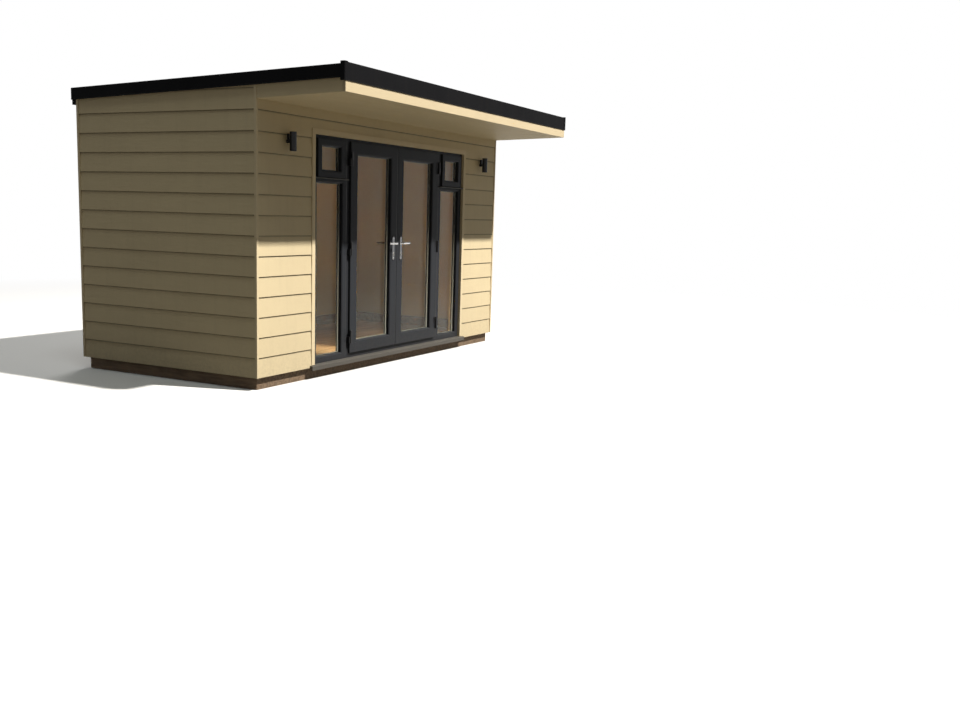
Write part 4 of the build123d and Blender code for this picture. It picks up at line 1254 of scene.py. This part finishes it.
def skin(mesh, rings):
    """Join rings of points, all with the same count, into a closed skin."""
    rows = [[mesh.verts.new(point) for point in ring] for ring in rings]
    count = len(rows[0])
    for near, far in zip(rows, rows[1:]):
        for i in range(count):
            j = (i + 1) % count
            mesh.faces.new((near[i], near[j], far[j], far[i]))
    mesh.faces.new(rows[0])
    mesh.faces.new(rows[-1])


def around(sides):
    """Angles once round a circle."""
    return [2 * math.pi * i / sides for i in range(sides)]


def round_ended(x, z_low, z_high, half, y, inset=0.0):
    """The outline of an upright plate with round ends, drawn in by inset."""
    angles = [math.pi * i / 10 for i in range(11)]
    radius = half - inset
    top = [(x + radius * math.cos(a), y, z_high - half + radius * math.sin(a)) for a in angles]
    foot = [(x - radius * math.cos(a), y, z_low + half - radius * math.sin(a)) for a in angles]
    return top + foot


def off_face(y, out, profile):
    """A profile's distances off a face at y, as places along Y."""
    return [(y + out * distance, size) for distance, size in profile]


def turned_on_y(mesh, x, z, profile):
    """A turned form about an axis along Y, from (y, radius) pairs."""
    skin(mesh, [[(x + r * math.cos(a), y, z + r * math.sin(a)) for a in around(24)] for y, r in profile])


def swept_lever(mesh, x, y, z, way, out, stations):
    """A lever from (distance, stand, half height, half depth) stations; way is its side and out its face."""
    rings = []
    for distance, stand, tall, deep in stations:
        centre_x, centre_y = x + way * distance, y + out * stand
        rings.append([(centre_x, centre_y + deep * math.cos(a), z + tall * math.sin(a)) for a in around(16)])
    skin(mesh, rings)


chrome = painted("polished_chrome", (0.5, 0.5, 0.505), 0.1, 1200.0, 0.00001, plain=METAL)
# The plates' chrome is darker than the levers': a painted dark reflection.
plate_dark_reflection = painted("plate_chrome", (0.19, 0.19, 0.195), 0.14, 1200.0, 0.00001, plain=METAL)
nickel = painted("cylinder_nickel", (0.42, 0.4, 0.36), 0.24, 1200.0, 0.00001, plain=METAL)


def furniture(side, way):
    """Both faces' plates, levers and cylinders of one leaf; way is the side the levers point to."""
    name = side + "_lever_set"
    low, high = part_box(side + "_door_handles")
    leaf_front, leaf_back = (corner.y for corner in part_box(side + "_door_leaf"))
    x = high.x - PLATE_HALF if way < 0 else low.x + PLATE_HALF
    cylinder_z = lever_z - CYLINDER_DROP
    plates, polished, barrels, keyways = bmesh.new(), bmesh.new(), bmesh.new(), bmesh.new()
    fixings = []
    for y, out, facing in ((leaf_front, -1, "front"), (leaf_back, 1, "back")):
        outline = (x, low.z, high.z, PLATE_HALF)
        skin(plates, [round_ended(*outline, *step) for step in off_face(y, out, PLATE_STEPS)])
        turned_on_y(polished, x, lever_z, off_face(y, out, NECK))
        swept_lever(polished, x, y, lever_z, way, out, LEVER)
        turned_on_y(polished, x, cylinder_z, off_face(y, out, COLLAR))
        plug = off_face(y, out, CYLINDER)
        turned_on_y(barrels, x, cylinder_z, [(place, CYLINDER_RADIUS - inset) for place, inset in plug])
        tail = (x, cylinder_z + CYLINDER_TAIL[0], cylinder_z + CYLINDER_TAIL[1], 0.005)
        skin(barrels, [round_ended(*tail, *step) for step in plug])
        depths = sorted(y + out * depth for depth in KEYWAY_DEPTHS)
        # Each keyway is a black slab, painted shade of the slot.
        for half, foot, head in KEYWAY:
            slab(keyways, x - half, x + half, *depths, cylinder_z + foot, cylinder_z + head)
        ends = (low.z + SCREW_FROM_END, high.z - SCREW_FROM_END)
        points = [(x, y + out * SCREW_STAND, z) for z in ends]
        fixings.append(screws(name + "_screws", points, facing, 0.0042, zinc, 5))
    for mesh in (plates, polished, barrels):
        smoothed(mesh)
    parts = [
        from_bmesh(name + "_plates", plates, plate_dark_reflection),
        from_bmesh(name + "_levers", polished, chrome),
        from_bmesh(name + "_cylinders", barrels, nickel),
        from_bmesh(name + "_keyways", keyways, slot_shade),
        *fixings,
    ]
    settle(joined(name, parts), side + "_door", "handle_chrome", side + "_door_handles")


furniture("left", -1)
furniture("right", 1)


# Fanlight handles. A white moulded handle lies along the bottom rail inside each fanlight and works its
# catches. It is held by screws under its cover.

BASE_STEPS = ((0.0, 0.0), (0.006, 0.0), (0.009, 0.0015), (0.01, 0.004))
BASE_NECK = ((0.0095, 0.009), (0.024, 0.0085), (0.026, 0.0065))
VENT_LEVER = (
    (-0.012, 0.026, 0.004, 0.004),
    (-0.01, 0.026, 0.008, 0.006),
    (0.02, 0.027, 0.008, 0.005),
    (0.075, 0.029, 0.007, 0.0045),
    (0.082, 0.029, 0.004, 0.003),
)
white_moulding = painted("white_moulding", WHITE_PLASTIC, 0.35, 800.0, 0.00003, mottle=0.02)


def lying_plate(mesh, x, z, y, steps, half_length):
    """A plate with round ends along X, 22 mm wide, from (height, inset) steps off the face at y."""
    rings = []
    for rise, inset in steps:
        outline = round_ended(z, x - half_length, x + half_length, 0.011, y + rise, inset)
        rings.append([(along, depth, up) for up, depth, along in outline])
    skin(mesh, rings)


def vent_handle(x, y, z):
    """A handle on a sash's inside face at y, its lever along the rail."""
    mesh = bmesh.new()
    lying_plate(mesh, x, z, y, BASE_STEPS, 0.045)
    neck_x = x + 0.02
    turned_on_y(mesh, neck_x, z, off_face(y, 1, BASE_NECK))
    swept_lever(mesh, neck_x, y, z, -1, 1, VENT_LEVER)
    smoothed(mesh)
    return from_bmesh("vent_handle", mesh, white_moulding)


sash_x = (right_sash[0] + right_sash[1]) / 2
rail_z = sash_low.z + 0.034
handles = [vent_handle(x, sash_high.y, rail_z) for x in (-sash_x, sash_x)]
settle(joined("vent_handles", handles), "building", "skirting_white")


# Hinges. Black coated butt hinges, three to a leaf: a plate on the leaf's face, a foot on the jamb, and a
# barrel between them with a pressed-in pin. Countersunk screws hold them.

BARREL = 0.12
LEAF_SCREWS = ((0.023, 0.014), (0.029, 0.031), (0.023, 0.047))
FOOT_SCREWS = (0.016, 0.044)
FOOT_SCREW_X = 0.0155
FOOT_FACE = 0.0089
KNUCKLE_PROUD = 0.0031
HINGE_SCREW_RADIUS = 0.0036
coated = {"Specular IOR Level": 0.2}
hinge_black = painted("hinge_paint", (0.012, 0.012, 0.013), 0.38, 1600.0, 0.00005, plain=coated)
dress(hinge_black, "hinge_frame_halves", "left_hinge_leaf_halves", "right_hinge_leaf_halves")
feet_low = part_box("hinge_frame_halves")[0]
pins = {joint["child"]: joint["pos_m"][0] for joint in frame["joints"]}
for side, way in (("left", 1), ("right", -1)):
    plates_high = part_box(side + "_hinge_leaf_halves")[1]
    pin = pins[side + "_door"]
    pitch = (plates_high.z - BARREL - feet_low.z) / 2
    tops = [plates_high.z - step * pitch for step in range(3)]
    plate_y = plates_high.y - KNUCKLE_PROUD
    foot_y = feet_low.y + FOOT_FACE
    foot_x = pin - way * FOOT_SCREW_X
    on_leaf = [(pin + way * x, plate_y, top - z) for top in tops for x, z in LEAF_SCREWS]
    on_jamb = [(foot_x, foot_y, top - BARREL + z) for top in tops for z in FOOT_SCREWS]
    for half, points, body, seed in (("plate", on_leaf, side + "_door", 6), ("foot", on_jamb, "building", 7)):
        name = side + "_hinge_" + half + "_screws"
        settle(screws(name, points, "front", HINGE_SCREW_RADIUS, hinge_black, seed), body, "hinge_black")


# Wall lamps. Black coated tubes that light the wall above and below through domed frosted lenses. Each
# stands on an arm from a round back plate, which is screwed to the boards.

LAMP_SPACING = 3.31
BACK_PLATE_RADIUS = 0.046
TUBE_RADIUS = 0.028
LENS = ((0.0098, 0.0253), (0.006, 0.0253), (0.0045, 0.023), (0.0034, 0.016), (0.003, 0.007), (0.003, 0.001))


def frosted_lens():
    """Frosted glass with a fine haze."""
    plain = {"Transmission Weight": 0.35, "IOR": 1.45}
    material, tree, shader, place = finish("frosted_lens", (0.82, 0.82, 0.8), 0.5, plain)
    haze = noise(tree, place, 300.0, 3.0, 0.6)
    cover(tree, shader, roughness=spread(tree, haze, *NOISE_SPAN, 0.42, 0.6), height=haze, depth=0.0001)
    return material


lamp_coating = painted("lamp_coating", (0.012, 0.012, 0.013), 0.42, 1500.0, 0.0001, plain=coated)
dress(lamp_coating, "wall_lamps")
lamps_low, lamps_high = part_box("wall_lamps")
right_lamp = lamps_high.x - BACK_PLATE_RADIUS
tube_y = lamps_low.y + TUBE_RADIUS
lenses = bmesh.new()
for x in (right_lamp - LAMP_SPACING, right_lamp):
    for end, out in ((lamps_low.z, -1), (lamps_high.z, 1)):
        rings = []
        for depth, radius in LENS:
            z = end - out * depth
            rings.append([(x + radius * math.cos(a), tube_y + radius * math.sin(a), z) for a in around(24)])
        skin(lenses, rings)
smoothed(lenses)
settle(from_bmesh("lamp_lenses", lenses, frosted_lens()), "building", "glass")


# Rainwater goods. A black plastic half-round gutter on brackets, and a downpipe with a shoe. Each pipe
# clip is held by two ears screwed to the wall.

CLIP_HEIGHTS = (0.41, 1.168, 1.926)
EAR_STEPS = ((0.0, 0.0), (0.003, 0.0), (0.004, 0.001))
EARS_HALF = 0.05
EAR_SCREW = (0.039, 0.0045)
GUTTER_BLACK = (0.011, 0.011, 0.012)
glossy = {"Specular IOR Level": 0.25}
gutter_plastic = painted("gutter_plastic", GUTTER_BLACK, 0.36, 300.0, 0.00008, 0.08, 0.05, 0.3, glossy)
dress(gutter_plastic, "gutter", "downpipe")
pipe_low, pipe_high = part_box("downpipe")
pipe_x = (pipe_low.x + pipe_high.x) / 2
ears = bmesh.new()
for z in CLIP_HEIGHTS:
    lying_plate(ears, pipe_x, z, pipe_low.y, EAR_STEPS, EARS_HALF)
smoothed(ears)
ear_x, ear_y = EAR_SCREW
ear_points = [(pipe_x + way * ear_x, pipe_low.y + ear_y, z) for z in CLIP_HEIGHTS for way in (-1, 1)]
clip_parts = [
    from_bmesh("clip_ears", ears, gutter_plastic),
    screws("clip_screws", ear_points, "back", 0.0045, zinc, 8),
]
settle(joined("pipe_clip_ears", clip_parts), "building", "black_trim")


# Studio. A pale floor that fades to white, a small distant key from the front and a little to the right,
# which leaves the left wall and the canopy's underside in shade, and faint fills from the left and behind.

FADE = (4.0, 11.0)
FLOOR_RADIUS = 60.0
LIT_FLOOR = (0.085, 0.08, 0.066, 1)
SKY = (0.93, 0.96, 1.0, 1)
SKY_STRENGTH = 0.09
POD_MIDDLE = Vector((0, -0.9, 1.2))
LAMPS = {
    "key": ((0.17, -1.0, 1.36), 26.0, 0.6, 13400.0, (1.0, 0.97, 0.92)),
    "left_fill": ((-1.0, -0.25, 2.5), 10.0, 2.5, 150.0, (0.92, 1.0, 0.95)),
    "back_fill": ((0.75, 1.0, 1.7), 10.0, 3.0, 340.0, (1.0, 0.99, 0.97)),
}


def shown(tree):
    """1 for rays that show the studio itself: the camera's, and those that metal and glass pass on."""
    path = add(tree, "ShaderNodeLightPath").outputs
    passed_on = maths(tree, "MAXIMUM", path["Is Glossy Ray"], path["Is Transmission Ray"])
    first_hand = maths(tree, "LESS_THAN", path["Diffuse Depth"], 0.5)
    return times(tree, maths(tree, "MAXIMUM", path["Is Camera Ray"], passed_on), first_hand)


def pale_floor():
    """A speckled pale floor that fades to white with distance, and throws little light on the pod."""
    material, tree, shader, place = finish("studio_floor", (0.82, 0.81, 0.79), 0.8)
    speck = noise(tree, place, 60.0, 3.0, 0.6)
    speckled = mixed(tree, spread(tree, speck, *NOISE_SPAN), (0.8, 0.79, 0.77, 1), (0.84, 0.83, 0.81, 1))
    white = result_of(tree, "ShaderNodeEmission", {"Color": (1, 1, 1, 1), "Strength": 1.0})
    away = add(tree, "ShaderNodeVectorMath", {0: place}, operation="LENGTH").outputs["Value"]
    seen = shown(tree)
    cover(tree, shader, mixed(tree, seen, LIT_FLOOR, speckled), height=speck, depth=0.0004)
    instead(tree, times(tree, spread(tree, away, *FADE), seen), shader.outputs[0], white)
    return material


ground = bmesh.new()
bmesh.ops.create_circle(ground, cap_ends=True, segments=96, radius=FLOOR_RADIUS)
floor = from_bmesh("studio_ground", ground, pale_floor())
for vertex in floor.data.vertices:
    vertex.co.z = -0.001
floor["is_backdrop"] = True

world = bpy.data.worlds.new("Studio")
bpy.context.scene.world = world
world.use_nodes = True
sky = world.node_tree
fill = sky.nodes["Background"]
fill.inputs["Color"].default_value = SKY
fill.inputs["Strength"].default_value = SKY_STRENGTH
plain_white = result_of(sky, "ShaderNodeBackground", {"Color": (1, 1, 1, 1), "Strength": 1.0})
instead(sky, shown(sky), fill.outputs[0], plain_white, "World Output")


def softbox(name, toward, distance, size, power, colour):
    """A square area lamp on the line from the pod's middle toward a point, facing back along it."""
    lamp = bpy.data.lights.new(name, "AREA")
    lamp.shape = "SQUARE"
    lamp.size = size
    lamp.energy = power
    lamp.color = colour
    held = bpy.data.objects.new(name, lamp)
    direction = Vector(toward).normalized()
    held.location = POD_MIDDLE + direction * distance
    held.rotation_euler = direction.to_track_quat("Z", "Y").to_euler()
    bpy.context.scene.collection.objects.link(held)


for name, lamp in LAMPS.items():
    softbox(name, *lamp)


# Camera. It stands left of the front, at a little under head height, turned right and slightly down, as
# the photograph was taken. Its focal length is in pixels of a picture 960 wide.

PICTURE_WIDTH = 960
FOCAL_PIXELS = 985.94
HEADING = 1.0937308
TILT = 0.1460644
ROLL = 0.0290960
STAND = (-8.036194, -6.052263, 1.430269)
camera = bpy.data.cameras.new("photo_view")
camera.sensor_width = 36.0
camera.lens = FOCAL_PIXELS / PICTURE_WIDTH * camera.sensor_width
viewer = bpy.data.objects.new("photo_view", camera)
level_view = Matrix.Rotation(-HEADING, 4, "Z") @ Matrix.Rotation(math.pi / 2 - TILT, 4, "X")
viewer.matrix_world = Matrix.Translation(STAND) @ level_view @ Matrix.Rotation(ROLL, 4, "Z")
bpy.context.scene.collection.objects.link(viewer)
bpy.context.scene.camera = viewer
bpy.context.scene.view_settings.view_transform = "Standard"

sizes = {"cad": [list(corner) for corner in cad_bounds], "visual": [list(corner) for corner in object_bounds()]}
